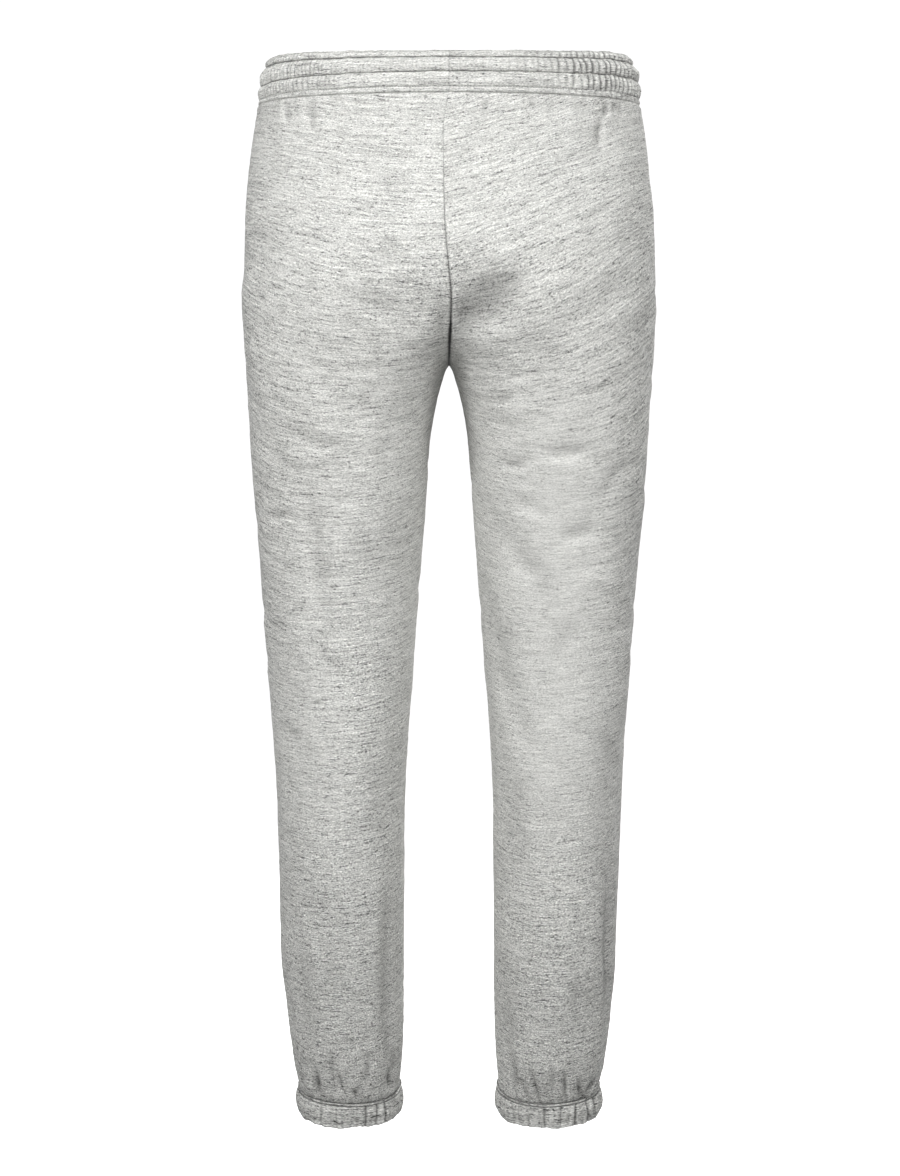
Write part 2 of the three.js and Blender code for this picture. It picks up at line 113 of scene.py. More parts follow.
# Creases, seen from behind (back) or from the front (front), x to the wearer's
# left. bow: how far the middle of the line stands off its chord. lip: how much
# cloth the trough pushes up along its lower side, as a share of its depth.
CREASES = (  # side, x1, z1, x2, z2, width, depth, bow, lip
    # back, under the seat and over the thighs
    (1, -10, -222, -62, -196, 19, -2.6, 2, 0.1),
    (1, -2, -238, -44, -222, 12, -1.6, 1, 0.2),
    (1, -14, -206, -44, -188, 9, -0.9, 1, 0.3),
    (1, 3, -206, 9, -268, 8, -1.3, 0, 0.3),
    (1, -6, -196, -12, -262, 9, -1.0, 0, 0.3),
    (1, 53, -160, 58, -182, 12, -1.3, 0, 0.2),
    (1, 92, -205, 30, -226, 11, -1.1, 3, 0.4),
    (1, -120, -214, -170, -188, 12, -1.2, 3, 0.4),
    (1, -89, -349, -122, -348, 6, -1.5, 1, 0.6),
    (1, -49, -358, -71, -357, 5, -1.0, 1, 0.5),
    (1, -44, -302, -58, -297, 5, -0.8, 0, 0.4),
    (1, -104, -424, -133, -415, 7, -1.2, 2, 0.5),
    (1, -41, -413, -93, -483, 10, -0.7, -3, 0.3),
    (1, -72, -446, -97, -513, 12, -0.6, -2, 0.2),
    (1, -26, -446, -69, -606, 9, -1.2, 4, 0.5),
    (1, -166, -354, -144, -384, 7, -1.0, 1, 0.4),
    (1, -60, -392, -88, -404, 6, -0.8, 0, 0.4),
    (1, -120, -500, -94, -540, 9, -0.8, 1, 0.4),
    (1, 128, -391, 109, -501, 9, -1.3, 3, 0.6),
    (1, 164, -408, 150, -404, 5, -0.9, 0, 0.5),
    (1, 61, -336, 60, -373, 7, -0.9, 1, 0.3),
    (1, 142, -330, 96, -346, 8, -0.9, 2, 0.5),
    (1, 84, -420, 60, -470, 9, -0.9, 2, 0.4),
    (1, 120, -520, 92, -560, 9, -0.9, 2, 0.4),
    (1, 154, -600, 140, -612, 7, -0.8, 0, 0.4),
    (1, 70, -640, 58, -700, 8, -0.7, 0, 0.3),
    (1, -140, -599, -154, -634, 7, -1.0, 0, 0.3),
    (1, -60, -660, -66, -740, 9, -0.7, 1, 0.3),
    (1, 57, -766, 52, -924, 6, -1.8, 2, 0.4),
    (1, -148, -712, -152, -855, 8, -1.1, 1, 0.3),
    (1, -116, -830, -120, -880, 7, -1.0, 1, 0.4),
    (1, -146, -760, -144.5, -905, 4.0, -0.8, 0, 0.6),
    (1, -141, -829, -139, -908, 5, 0.6, 0, 0.0),
    (1, -50, -845, -54, -908, 6, -0.9, 0, 0.4),
    (1, 112, -790, 104, -862, 8, -0.6, 1, 0.3),
    (1, 138, -812, 128, -884, 7, -0.8, 1, 0.3),
    # back, above the cuffs
    (1, 124, -918, 119, -941, 4, -1.7, 1, 0.6),
    (1, 138, -924, 136, -932, 3.0, -1.0, 0, 0.4),
    (1, 53.4, -919, 54.6, -935, 3.0, -1.5, 0, 0.4),
    (1, 49.4, -907, 49, -921, 3.0, -1.2, 0, 0.4),
    (1, 101, -921, 99, -935, 2.8, -1.3, 0, 0.4),
    (1, 88, -934, 86, -941, 2.8, -1.3, 0, 0.4),
    (1, 73, -906, 76, -930, 3.6, -0.8, 0, 0.4),
    (1, 110, -900, 106, -930, 5.0, -0.8, 0, 0.4),
    (1, -106.7, -919, -107.2, -942, 2.4, -1.5, 0, 0.5),
    (1, -120, -927, -120.6, -944, 2.4, -1.4, 0, 0.5),
    (1, -126, -940, -137, -927, 2.5, -1.8, 0, 0.6),
    (1, -76.5, -920, -84.6, -945, 2.6, -1.4, 1, 0.5),
    (1, -66, -928, -73, -942, 3.2, -1.0, 0, 0.4),
    (1, -95, -912, -96, -938, 4.0, -0.9, 0, 0.4),
    (1, -58, -906, -62, -936, 4.6, -0.9, 0, 0.4),
    # back, under the waistband
    (1, -35, -22, -35, -44, 4.5, -0.7, 0, 0.4),
    (1, -74, -24, -79, -34, 3.0, -0.8, 0, 0.4),
    (1, -145.5, -26, -145, -36, 2.4, -1.0, 0, 0.4),
    (1, -142.5, -39, -139, -65, 3.2, -1.2, 1, 0.4),
    (1, -142, -30, -140, -70, 8.5, -0.5, 1, 0.2),
    (1, -146, -24, -147, -33, 2.4, -0.9, 0, 0.3),
    (1, -153, -23, -153, -32, 2.4, -0.9, 0, 0.3),
    (1, -159, -22, -159, -33, 2.4, -0.9, 0, 0.3),
    (1, 128, -24, 124, -52, 5.0, -0.8, 1, 0.4),
    (1, 150, -24, 149, -44, 4.0, -0.8, 0, 0.4),
    (1, 84, -24, 86, -40, 5.0, -0.5, 0, 0.3),
    # front
    (-1, 6, -232, 58, -202, 9, -1.3, 2, 0.5),
    (-1, -8, -238, -60, -212, 9, -1.3, 2, 0.5),
    (-1, 14, -254, 44, -240, 6, -1.0, 1, 0.4),
    (-1, -12, -252, -38, -246, 6, -0.8, 1, 0.4),
    (-1, 120, -196, 168, -168, 11, -1.2, 3, 0.4),
    (-1, -126, -200, -172, -180, 11, -1.1, 3, 0.4),
    (-1, 52, -320, 104, -338, 8, -1.0, 2, 0.5),
    (-1, -46, -346, -98, -336, 8, -1.1, 2, 0.5),
    (-1, 44, -452, 96, -478, 8, -1.3, 2, 0.5),
    (-1, 140, -488, 104, -516, 8, -1.1, 2, 0.5),
    (-1, -48, -486, -104, -462, 8, -1.2, 2, 0.5),
    (-1, -140, -500, -96, -528, 8, -1.1, 2, 0.5),
    (-1, 64, -540, 92, -600, 8, -0.9, 2, 0.4),
    (-1, -66, -556, -88, -620, 8, -0.9, 2, 0.4),
    (-1, 62, -760, 58, -880, 7, -1.1, 2, 0.4),
    (-1, 132, -800, 126, -900, 7, -1.1, 2, 0.4),
    (-1, -60, -776, -56, -900, 7, -1.0, 2, 0.4),
    (-1, -134, -780, -128, -890, 7, -1.1, 2, 0.4),
    (-1, 104, -850, 102, -912, 6, -0.8, 1, 0.4),
    (-1, -98, -860, -94, -914, 6, -0.8, 1, 0.4),
)

# Creases on the flanks, seen from the side: y towards the back. hand: +1 the
# wearer's left flank, -1 the right. part: "out" the outside of the leg, "in"
# the inside of the leg.
FLANKS = (  # hand, part, y1, z1, y2, z2, width, depth, bow, lip
    (1, "out", 58, -150, -40, -196, 12, -1.3, 4, 0.4),
    (1, "out", 60, -232, 4, -262, 9, -1.2, 3, 0.5),
    (1, "out", -60, -250, -8, -286, 9, -1.1, 3, 0.5),
    (1, "out", 48, -382, -6, -420, 8, -1.2, 3, 0.5),
    (1, "out", 30, -500, -34, -478, 8, -1.3, 2, 0.5),
    (1, "out", -44, -520, 18, -544, 8, -1.1, 2, 0.5),
    (1, "out", 36, -640, 20, -742, 8, -0.9, 3, 0.4),
    (1, "out", -18, -770, -10, -888, 8, -1.1, 3, 0.4),
    (1, "out", 34, -806, 30, -900, 7, -1.1, 2, 0.4),
    (-1, "out", 56, -166, -30, -210, 12, -1.3, 4, 0.4),
    (-1, "out", 62, -240, 8, -276, 9, -1.1, 3, 0.5),
    (-1, "out", -56, -240, -4, -272, 9, -1.1, 3, 0.5),
    (-1, "out", 44, -356, -10, -392, 8, -1.2, 3, 0.5),
    (-1, "out", 38, -470, -30, -500, 8, -1.3, 2, 0.5),
    (-1, "out", -40, -548, 22, -528, 8, -1.0, 2, 0.5),
    (-1, "out", 34, -660, 24, -760, 8, -0.9, 3, 0.4),
    (-1, "out", -14, -790, -8, -896, 8, -1.1, 3, 0.4),
    (-1, "out", 36, -826, 33, -904, 7, -1.1, 2, 0.4),
    (1, "in", 40, -330, -20, -370, 8, -1.1, 3, 0.4),
    (1, "in", 32, -452, -26, -480, 8, -1.1, 3, 0.4),
    (1, "in", 26, -600, 20, -720, 8, -0.9, 2, 0.4),
    (1, "in", -4, -800, 0, -900, 7, -1.0, 2, 0.4),
    (-1, "in", 38, -346, -22, -384, 8, -1.1, 3, 0.4),
    (-1, "in", 30, -470, -24, -500, 8, -1.1, 3, 0.4),
    (-1, "in", 24, -620, 22, -736, 8, -0.9, 2, 0.4),
    (-1, "in", -2, -810, 2, -900, 7, -1.0, 2, 0.4),
)

# The middle seam of the seat wanders a little: level, and how far to the left.
SEAT_SEAM = np.array([
    (-19, 0.5), (-52, 5.0), (-86, 4.9), (-132, 4.0), (-160, 2.2), (-184, 0.0),
    (-206, -2.1), (-226, -1.7), (-250, -0.4), (-262, 0.0),
])


# ----------------------------------------------------------------- helpers
def curve(x, y):
    """A smooth curve through rows that never swings past them."""
    x, y = np.asarray(x, float), np.asarray(y, float)
    h = np.diff(x)
    d = np.diff(y) / h
    m = np.zeros(len(x))
    for i in range(1, len(x) - 1):
        if d[i - 1] * d[i] > 0:
            a, b = 2 * h[i] + h[i - 1], h[i] + 2 * h[i - 1]
            m[i] = (a + b) / (a / d[i - 1] + b / d[i])
    m[0], m[-1] = d[0], d[-1]

    def read(s):
        s = np.clip(s, x[0], x[-1])
        i = np.clip(np.searchsorted(x, s, side="left") - 1, 0, len(x) - 2)
        t = (s - x[i]) / h[i]
        return ((2 * t**3 - 3 * t**2 + 1) * y[i] + (t**3 - 2 * t**2 + t) * h[i] * m[i]
                + (3 * t**2 - 2 * t**3) * y[i + 1] + (t**3 - t**2) * h[i] * m[i + 1])
    return read


def ease(t):
    t = np.clip(t, 0, 1)
    return t * t * (3 - 2 * t)


def bell(t):
    return np.exp(-t * t)


def unit(v):
    return v / np.maximum(np.linalg.norm(v, axis=-1, keepdims=True), 1e-12)


def uneven(p, length, seed, terms=30):
    """A smooth uneven field with a spread of 1 and bumps about that long."""
    rng = np.random.default_rng(seed)
    axes = unit(rng.normal(size=(terms, 3)))
    k = 2 * math.pi / length * rng.uniform(0.6, 1.45, terms)
    phase = rng.uniform(0, 2 * math.pi, terms)
    out = np.zeros(p.shape[:-1])
    for a, b, c in zip(axes, k, phase):
        out += np.cos(b * (p @ a) + c)
    return out / math.sqrt(terms / 2)


READ = {_name: curve(-SECTIONS[:, 0], SECTIONS[:, _k]) for _k, _name in enumerate(SECTION_COLUMNS[1:], 1)}


def section(z):
    return {name: READ[name](-z) for name in READ}


def half(z, side, n=700):
    """Half sections of the left leg tube at the levels z, from the seat seam or
    inseam round to the side seam: x, y, length run, whole length, closed."""
    s = section(z)
    cx, wide_in, wide_out = s["crest"], s["crest"] - s["inn"], s["out"] - s["crest"]
    depth = s["back"] if side > 0 else s["front"]
    cut = np.minimum(1, cx / wide_in)
    cut = np.where(cut > 1 - 1e-9, 1.0, cut)
    t0 = np.where(cut >= 1, math.pi, math.pi - np.arccos(np.power(cut, s["nIn"] / 2)))
    t = t0[:, None] * (1 - np.arange(n + 1) / n)
    c, q = np.cos(t), np.maximum(0, np.sin(t))
    power = np.where(c < 0, 2 / s["nIn"][:, None], 2 / s["nOut"][:, None])
    x = cx[:, None] + np.where(c < 0, wide_in[:, None], wide_out[:, None]) * np.sign(c) * np.abs(c) ** power
    y = side * depth[:, None] * q**power
    x[cut < 1, 0] = 0
    run = np.concatenate([np.zeros((len(z), 1)), np.cumsum(np.hypot(np.diff(x), np.diff(y)), axis=1)], axis=1)
    return {"s": s, "x": x, "y": y, "run": run, "length": run[:, -1], "closed": cut >= 1}


_levels = np.linspace(WAIST_SEAM, CUFF_SEAM, 1835)
_lengths = {side: half(_levels, side, 260)["length"] for side in (1, -1)}


def even_length(z, side):
    out, weight = np.zeros(len(z)), 0
    for k in range(-6, 7):
        at = np.clip(z + k * 7, CUFF_SEAM, WAIST_SEAM)
        out += (7 - abs(k)) * np.interp(-at, -_levels, _lengths[side])
        weight += 7 - abs(k)
    return out / weight


def stroke(a, b, row, lip=0.0, bow=0.0):
    """How deep a fold from a1, b1 to a2, b2 is at the places a, b."""
    a1, b1, a2, b2, width, depth = row
    va, vb = a2 - a1, b2 - b1
    length = math.hypot(va, vb)
    t = ((a - a1) * va + (b - b1) * vb) / length**2
    tc = np.clip(t, -0.25, 1.25)
    off = ((a - a1) * -vb + (b - b1) * va) / length - bow * (1 - (2 * np.clip(t, 0, 1) - 1) ** 2)
    if va * 1.0 > 0:
        off = -off                               # positive is always below the line
    past = (t - tc) * length / width
    ends = np.cos(math.pi * np.minimum(0.5, np.abs(tc - 0.5) / 1.5))
    shape = bell(np.hypot(off / width, past))
    if lip:
        shape = shape - lip * bell(np.hypot((off / width - 1.5) / 0.9, past))
    return depth * shape * ends


# ------------------------------------------------------------- leg panels
EDGE = np.array([0.0, 0.35, 0.8, 1.35, 2.0, 2.9, 4.2, 6.0, 8.6])     # columns beside a seam
MIDDLE = 84                                                          # steps between them


def leg_levels():
    """Levels of the rows, close together at the seams and at the crotch."""
    def walk(start, stop, first, growth, most):
        out, step, z = [start], first, start
        sign = 1 if stop > start else -1
        while abs(stop - z) > step * 1.4:
            z += sign * step
            out.append(z)
            step = min(most, step * growth)
        return np.array(out + [stop])
    near = 0.05 * np.arange(15) ** 2
    up = np.concatenate([CROTCH + near[:-1], walk(CROTCH + near[-1], -120.0, 1.5, 1.07, 3.0)])[::-1]
    top = walk(WAIST_SEAM - SEAM, -120.0, 0.4, 1.13, 3.0)
    down = np.concatenate([CROTCH - near[:-1], walk(CROTCH - near[-1], -860.0, 1.5, 1.07, 2.9)])
    foot = walk(CUFF_SEAM + SEAM, -860.0, 0.4, 1.13, 2.0)[::-1]
    return np.concatenate([top[:-1], up, down[1:], foot[1:]])


def base_panel(z, side):
    """Points of one left leg panel on the plain form, with where they lie."""
    h = half(z, side)
    even, length = even_length(z, side), h["length"]
    rows, columns = len(z), 2 * len(EDGE) + MIDDLE - 1
    grid = np.linspace(0, 1, 801)
    p = np.zeros((rows, columns, 3))
    want, share = np.zeros((rows, columns)), np.zeros((rows, columns))
    for i in range(rows):
        g = 1 - grid
        way = np.maximum(0, length[i] - even[i] * g - (length[i] - even[i]) * g**8)
        way[0], way[-1] = 0, length[i]
        f0, f1 = np.interp([SEAM / 2 + EDGE[-1], length[i] - SEAM / 2 - EDGE[-1]], way, grid)
        w = np.concatenate([
            SEAM / 2 + EDGE,
            np.interp(f0 + (f1 - f0) * np.arange(1, MIDDLE) / MIDDLE, grid, way),
            length[i] - SEAM / 2 - EDGE[::-1],
        ])
        want[i], share[i] = w, np.interp(w, way, grid)
        p[i, :, 0] = np.interp(w, h["run"][i], h["x"][i])
        p[i, :, 1] = np.interp(w, h["run"][i], h["y"][i])
    s = h["s"]
    p[:, :, 2] = z[:, None] - s["drop"][:, None] * p[:, :, 1]
    p[:, :, 1] += s["mid"][:, None]
    return {"p": p, "want": want, "left": length[:, None] - want, "f": share,
            "z": np.repeat(z[:, None], columns, 1), "closed": h["closed"], "mid": s["mid"], "side": side}


def base_normals(a, b):
    """Outward directions of panel a, whose neighbour on the same leg is b."""
    p, q, side = a["p"], b["p"], a["side"]
    mirror = p[:, 1:2].copy()
    mirror[:, :, 0] *= -1
    before = np.where(a["closed"][:, None, None], q[:, 1:2], mirror)
    wide = np.concatenate([before, p, q[:, -2:-1]], axis=1)
    along = wide[:, 2:] - wide[:, :-2]
    down = np.empty_like(p)
    down[1:-1], down[0], down[-1] = p[2:] - p[:-2], p[1] - p[0], p[-1] - p[-2]
    return side * unit(np.cross(along, down))


_high = np.linspace(CROTCH + 0.001, -190, 400)
SEAT_DEPTH = {side: np.abs(half(_high, side, 260)["y"][:, 0]) for side in (1, -1)}


def ankle_dip(seen, back, hand):
    """How far the ankle seam dips behind the leg."""
    return (-1.6 if hand > 0 else -1.9) * bell((np.abs(seen) - 78) / 34) * back


def dress_panel(a, n, hand):
    """The finished outside of one panel: folds, creases, seams and gathers, with the painted shade in the seams,
    creases and gathers and under the seat, and how plain the marl is.
    """
    side = a["side"]
    p = a["p"].copy()
    z, into, outof = a["z"], a["want"], a["left"]
    # how far from the seat seam, where that runs under to the crotch too
    level = np.interp(np.abs(p[:, :, 1] - a["mid"][:, None]), SEAT_DEPTH[side], _high)
    beside = np.hypot(p[:, :, 0], np.maximum(0, level - z))
    fork = ease(1 - np.abs(z - CROTCH) / 16) * ease(1 - beside / 14)
    seen = p[:, :, 0] * hand
    key = 10 * (hand > 0) + (side > 0)
    closed = a["closed"][:, None] * 1.0
    near = np.where(closed > 0, 1.0, ease(1 - (z - CROTCH) / 30))
    edge = (ease((1 - a["f"]) / 0.25) * ease((WAIST_SEAM - z) / 25) * ease((z - CUFF_SEAM) / 12)
            * (1 - near + near * ease(a["f"] / 0.2)))
    big = np.zeros_like(z)
    for row in FOLDS:
        if row[0] == side:
            big += stroke(seen, p[:, :, 2], row[1:7])
    p[:, :, 1] += side * big * edge

    # creases, along the surface's own direction
    facing_y = ease((np.abs(n[:, :, 1]) - 0.12) / 0.45)
    facing_x = ease((np.abs(n[:, :, 0]) - 0.25) / 0.45)
    rim = ease(outof / 14) * ease(into / 10)
    top, foot = WAIST_SEAM - z, z - CUFF_SEAM
    d, dark = np.zeros_like(z), np.zeros_like(z)
    for row in CREASES:
        if row[0] == side:
            wide = row[5] >= 6
            row_deep = stroke(seen, p[:, :, 2], row[1:7], lip=row[8] * (0.4 if wide else 0.7), bow=row[7]) * facing_y * rim
            d += (2.0 if wide else 2.4) * row_deep
            # painted shade at the bottom of each crease, strongest in the narrow ones
            if row[6] < 0:
                share = np.clip(row_deep / row[6], 0, 1)
                dark += -row[6] * (0.14 * share if wide else 0.55 * share**2.5)
    for row in FLANKS:
        if row[0] == hand:
            part = (n[:, :, 0] > 0) if row[1] == "out" else (n[:, :, 0] < 0) & (closed > 0)
            d += 1.6 * stroke(p[:, :, 1], p[:, :, 2], row[2:8], lip=row[9], bow=row[8]) * facing_x * part * (
                0.45 + 0.55 * ease((outof if row[1] == "out" else into) / 22))

    # short shallow creases left by wear, more of them below the seat, by the
    # knee and at the ankle
    rng = np.random.default_rng(700 + key)
    for _ in range(64):
        zc = rng.choice([-236, -330, -430, -520, -700, -850], p=[0.14, 0.2, 0.22, 0.2, 0.12, 0.12]) + rng.normal() * 38
        xc = hand * rng.uniform(40, 165)
        tilt = rng.normal() * 0.5 + (1.25 if zc < -600 else 0.25) * (1 if rng.random() < 0.5 else -1)
        reach = rng.uniform(9, 26)
        dx, dz = math.cos(tilt) * reach, math.sin(tilt) * reach
        d += stroke(seen, p[:, :, 2], (xc - dx, zc - dz, xc + dx, zc + dz, rng.uniform(4.5, 9), -rng.uniform(0.2, 0.5)),
                    lip=0.5, bow=rng.normal() * 1.5) * facing_y * rim

    # the cloth is never quite even
    where = p * np.array([hand, 1, 1])
    soft = (0.75 * uneven(where * [1, 1, 0.8], 105, 31) + 0.30 * uneven(where * [1, 1, 0.85], 46, 32)
            + 0.11 * uneven(where * [0.9, 0.9, 1], 21, 33) + 0.05 * uneven(where, 9, 34))
    d += soft * (0.35 + 0.65 * ease(outof / 20)) * ease(top / 14) * ease(foot / 10) * (
        closed * ease(into / 14) + (1 - closed) * (0.3 + 0.7 * ease(beside / 14)))

    # seams draw the cloth in, and pucker a little
    def seam(dist, along, seed, deep, wide=1.3):
        line = np.stack([along, np.zeros_like(along), np.zeros_like(along)], -1)
        pull = 1 + 0.22 * uneven(line, 11, seed, 12) + 0.12 * uneven(line, 5, seed + 1, 12)
        return (-deep * bell(dist / wide) * pull + 0.28 * bell((dist - 5.2) / 3.0)
                + 0.16 * np.exp(-dist / 6.5) * uneven(line + dist[..., None] * [0.25, 0, 0], 8.5, seed + 2, 14))
    low_seat = ease((-150 - z) / 90) * (side > 0)
    faint = 0.4 + 0.6 * ease((-40 - z) / 110)
    sides = seam(outof, z, 41 + hand, 1.0)
    middle = np.where(closed > 0, seam(into, z, 51 + hand, 1.0), seam(into, z, 61, (0.85 + 1.7 * low_seat) * faint, 1.1 + 0.8 * low_seat))
    at_fork = 1 - 0.75 * bell((z - CROTCH) / 11)
    fade = ease((top + 3) / 8) * ease((foot + 2) / 6)
    d += sides * fade + middle * fade * at_fork
    # painted shade along the side seam and the middle seam, strongest low on the seat seam
    dark += 0.55 * bell(outof / 0.8) + np.where(closed > 0, 0.5 * bell(into / 0.8), (0.75 * faint + 0.25 * low_seat) * bell(into / (0.55 + 0.9 * low_seat)))

    # painted shade in the slit between the legs at the fork, and four soft patches of painted shadow under the seat
    # beside it
    if side > 0:
        slit = ease((-226 - z) / 14) * ease(1 - (CROTCH - z) / 10)
        dark += 1.15 * slit * bell(np.abs(p[:, :, 0]) / 1.5)
        d += -0.9 * slit * bell(into / 1.6) * at_fork
        for xs, zs, wx, wz, much in ((-30, -217, 26, 19, 0.09), (-54, -208, 16, 13, 0.10), (-10, -238, 12, 22, 0.08), (12, -228, 12, 30, 0.10)):
            dark += much * bell(np.hypot((seen - xs) / wx, (z - zs) / wz))

    # gathers below the waistband and above the cuff
    around = np.where(side > 0, into, -into) * hand
    rng = np.random.default_rng(810 + key)
    flute = np.zeros_like(z)
    total = float(a["want"].max()) + 20
    at = rng.uniform(3, 8)
    while at < total:
        wide, reach = rng.uniform(2.2, 4.2), rng.uniform(7, 20)
        strong = 0.18 + 0.82 * float(ease((at - 55) / 90))
        flute += -rng.uniform(0.35, 0.85) * strong * bell((into - at - top * rng.normal() * 0.08) / wide) * np.exp(-np.maximum(top, 0) / reach)
        at += rng.uniform(7.5, 14)
    flute = flute * ease((top + 0.5) / 2.5) * ease(outof / 6)
    d += 1.3 * flute
    # painted shade in the troughs of the gathers
    dark += np.maximum(0, -flute) * 0.3
    rng = np.random.default_rng(910 + key)
    flute = np.zeros_like(z)
    at = rng.uniform(3, 8)
    while at < 170:
        wide, reach = rng.uniform(2.4, 4.6), rng.uniform(9, 30)
        flute += -rng.uniform(0.4, 1.15) * bell((into - at - foot * rng.normal() * 0.10) / (wide + foot * 0.05)) * np.exp(-np.maximum(foot, 0) / reach)
        at += rng.uniform(7.5, 13.5)
    flute = flute * ease((foot + 0.5) / 2.5) * ease(outof / 5) * ease(into / 5)
    d += 1.5 * flute
    # painted shade in the troughs of the gathers and along the waistband and cuff seams
    dark += np.maximum(0, -flute) * 0.25 + 0.45 * bell(top / 0.9) + 1.0 * bell(foot / 0.95)
    # the cloth turns in where it meets the band and the cuff
    d += -1.0 * bell(top / 1.8) - 1.2 * bell(foot / 1.2) + 0.25 * bell((top - 5) / 3.5)
    d += (2.3 * bell(foot / 8) + 0.3 * bell((foot - 6) / 4)) * ease(np.abs(p[:, :, 1] - a["mid"][:, None]) / 28)
    d += -1.2 * bell(foot / 7) * ease(1 - outof / 24)

    # beside the middle plane the cloth moves front to back only
    flat = np.maximum((1 - closed) * ease(1 - beside / 12), fork)
    way = n * (1 - flat[..., None]) + np.array([0.0, side, 0.0]) * flat[..., None]
    out = p + unit(way) * (d * (1 - fork))[..., None]
    out[:, :, 0] = np.maximum(out[:, :, 0], SEAM / 2)

    if side > 0:
        out[:, :, 2] += ankle_dip(p[:, :, 0], ease(a["p"][:, :, 1] / 22), hand) * ease(1 - foot / 70)

    # inside of the cloth, with the seam allowances as low ridges
    allowance = 1.5 * ease(1 - (np.minimum(into, outof) - 3.5) / 3.5)
    allowance = allowance * (1 - 0.8 * bell((z - CROTCH) / 16)) + 1.2 * ease(1 - (top - 3) / 4) + 0.8 * ease(1 - (foot - 3) / 4)
    inside = out - n * (CLOTH + allowance)[..., None]
    inside[:, :, 0] = np.maximum(inside[:, :, 0], SEAM / 2)

    # the seat seam's wander
    if side > 0:
        shift = curve(-SEAT_SEAM[:, 0], SEAT_SEAM[:, 1])(-z) * bell(a["p"][:, :, 0] / 62) * (z > CROTCH - 0.01) * ease((z - CROTCH) / 6)
        out[:, :, 0] += shift * hand
        inside[:, :, 0] += shift * hand
    # how plain the marl is on the outside, carried to the material as the inside attribute: plainer and a few percent
    # lighter in patches on the back of the legs, busier and a few percent darker at the side seams, under the seat and
    # on the left thigh; at the side seams and under the seat the busier, darker cloth is painted shade
    quiet = np.zeros_like(z)
    if side > 0:
        if hand < 0:
            quiet += 0.62 * bell((seen + 98) / 52) * ease((-240 - z) / 120) * ease((z + 760) / 130)
        else:
            quiet += 0.40 * bell((seen - 124) / 30) * bell((z + 590) / 90)
        quiet -= 0.75 * ease(1 - outof / 115) * ease((z + 620) / 200) * ease((-60 - z) / 80)
        quiet -= 0.40 * bell(np.hypot(seen / 40, (z + 205) / 34))
        quiet -= 0.35 * bell((seen - 88) / 26) * bell((z + 560) / 90) * (hand > 0)
    return out, inside, np.clip(dark, 0, 1.28), quiet


def course(p, z, mid, side, hand):
    """Where the cloth's courses run: the same value all along one course."""
    x, y = p[:, :, 0] * hand, p[:, :, 1] - mid[:, None]
    seat = ease((z + 400) / 330)
    lean = curve([19, 100, 240, 380, 540, 760, 870, 936], [0.0, 0.04, 0.26, 0.42, 0.28, 0.34, 0.42, 0.46])(-z)
    if side < 0:
        lean = -0.4 * lean
    left = 0.18 * x**2 / 240
    right = 0.24 * np.abs(x) + 0.13 * x**2 / 240
    rise = np.where(x > 0, left, right) if side > 0 else 0.05 * np.abs(x)
    turn = 0.05 * x * (1 - seat)
    return p[:, :, 2] + lean * y - rise * seat + turn


# ------------------------------------------------------------------ meshes
def new_mesh(name, points, faces, cloth_uv, bake_uv, inner, dark, material, smooth=True):
    """A mesh from quads, in metres. The uv arrays hold one pair a corner."""
    mesh = bpy.data.meshes.new(name)
    points, faces = np.asarray(points, np.float32) * 0.001, np.asarray(faces, np.int32)
    mesh.vertices.add(len(points))
    mesh.vertices.foreach_set("co", points.ravel())
    mesh.loops.add(faces.size)
    mesh.loops.foreach_set("vertex_index", faces.ravel())
    mesh.polygons.add(len(faces))
    mesh.polygons.foreach_set("loop_start", np.arange(len(faces), dtype=np.int32) * faces.shape[1])
    mesh.polygons.foreach_set("loop_total", np.full(len(faces), faces.shape[1], np.int32))
    mesh.update(calc_edges=True)
    for layer, uv in (("Cloth", cloth_uv), ("OFBake", bake_uv)):
        made = mesh.uv_layers.new(name=layer)
        made.data.foreach_set("uv", np.asarray(uv, np.float32).ravel())
    mesh.uv_layers["Cloth"].active_render = True
    # inside: 1 on the brushed inside, and on the outside how plain the marl is there; the other attribute holds painted
    # shade in seams, creases and gathers
    for layer, values in (("inside", inner), ("hollow", dark)):
        made = mesh.attributes.new(layer, "FLOAT", "POINT")
        made.data.foreach_set("value", np.asarray(values, np.float32))
    mesh.polygons.foreach_set("use_smooth", np.full(len(faces), smooth))
    mesh.materials.append(material)
    mesh.validate()
    obj = bpy.data.objects.new(name, mesh)
    bpy.context.scene.collection.objects.link(obj)
    return obj


def quads(index):
    """Corner indices of the quads of a grid of indices."""
    return np.stack([index[:-1, :-1], index[1:, :-1], index[1:, 1:], index[:-1, 1:]], -1).reshape(-1, 4)


def corner_uv(u, v):
    uv = np.stack([u, v], -1)
    return np.stack([uv[:-1, :-1], uv[1:, :-1], uv[1:, 1:], uv[:-1, 1:]], 2).reshape(-1, 4, 2)


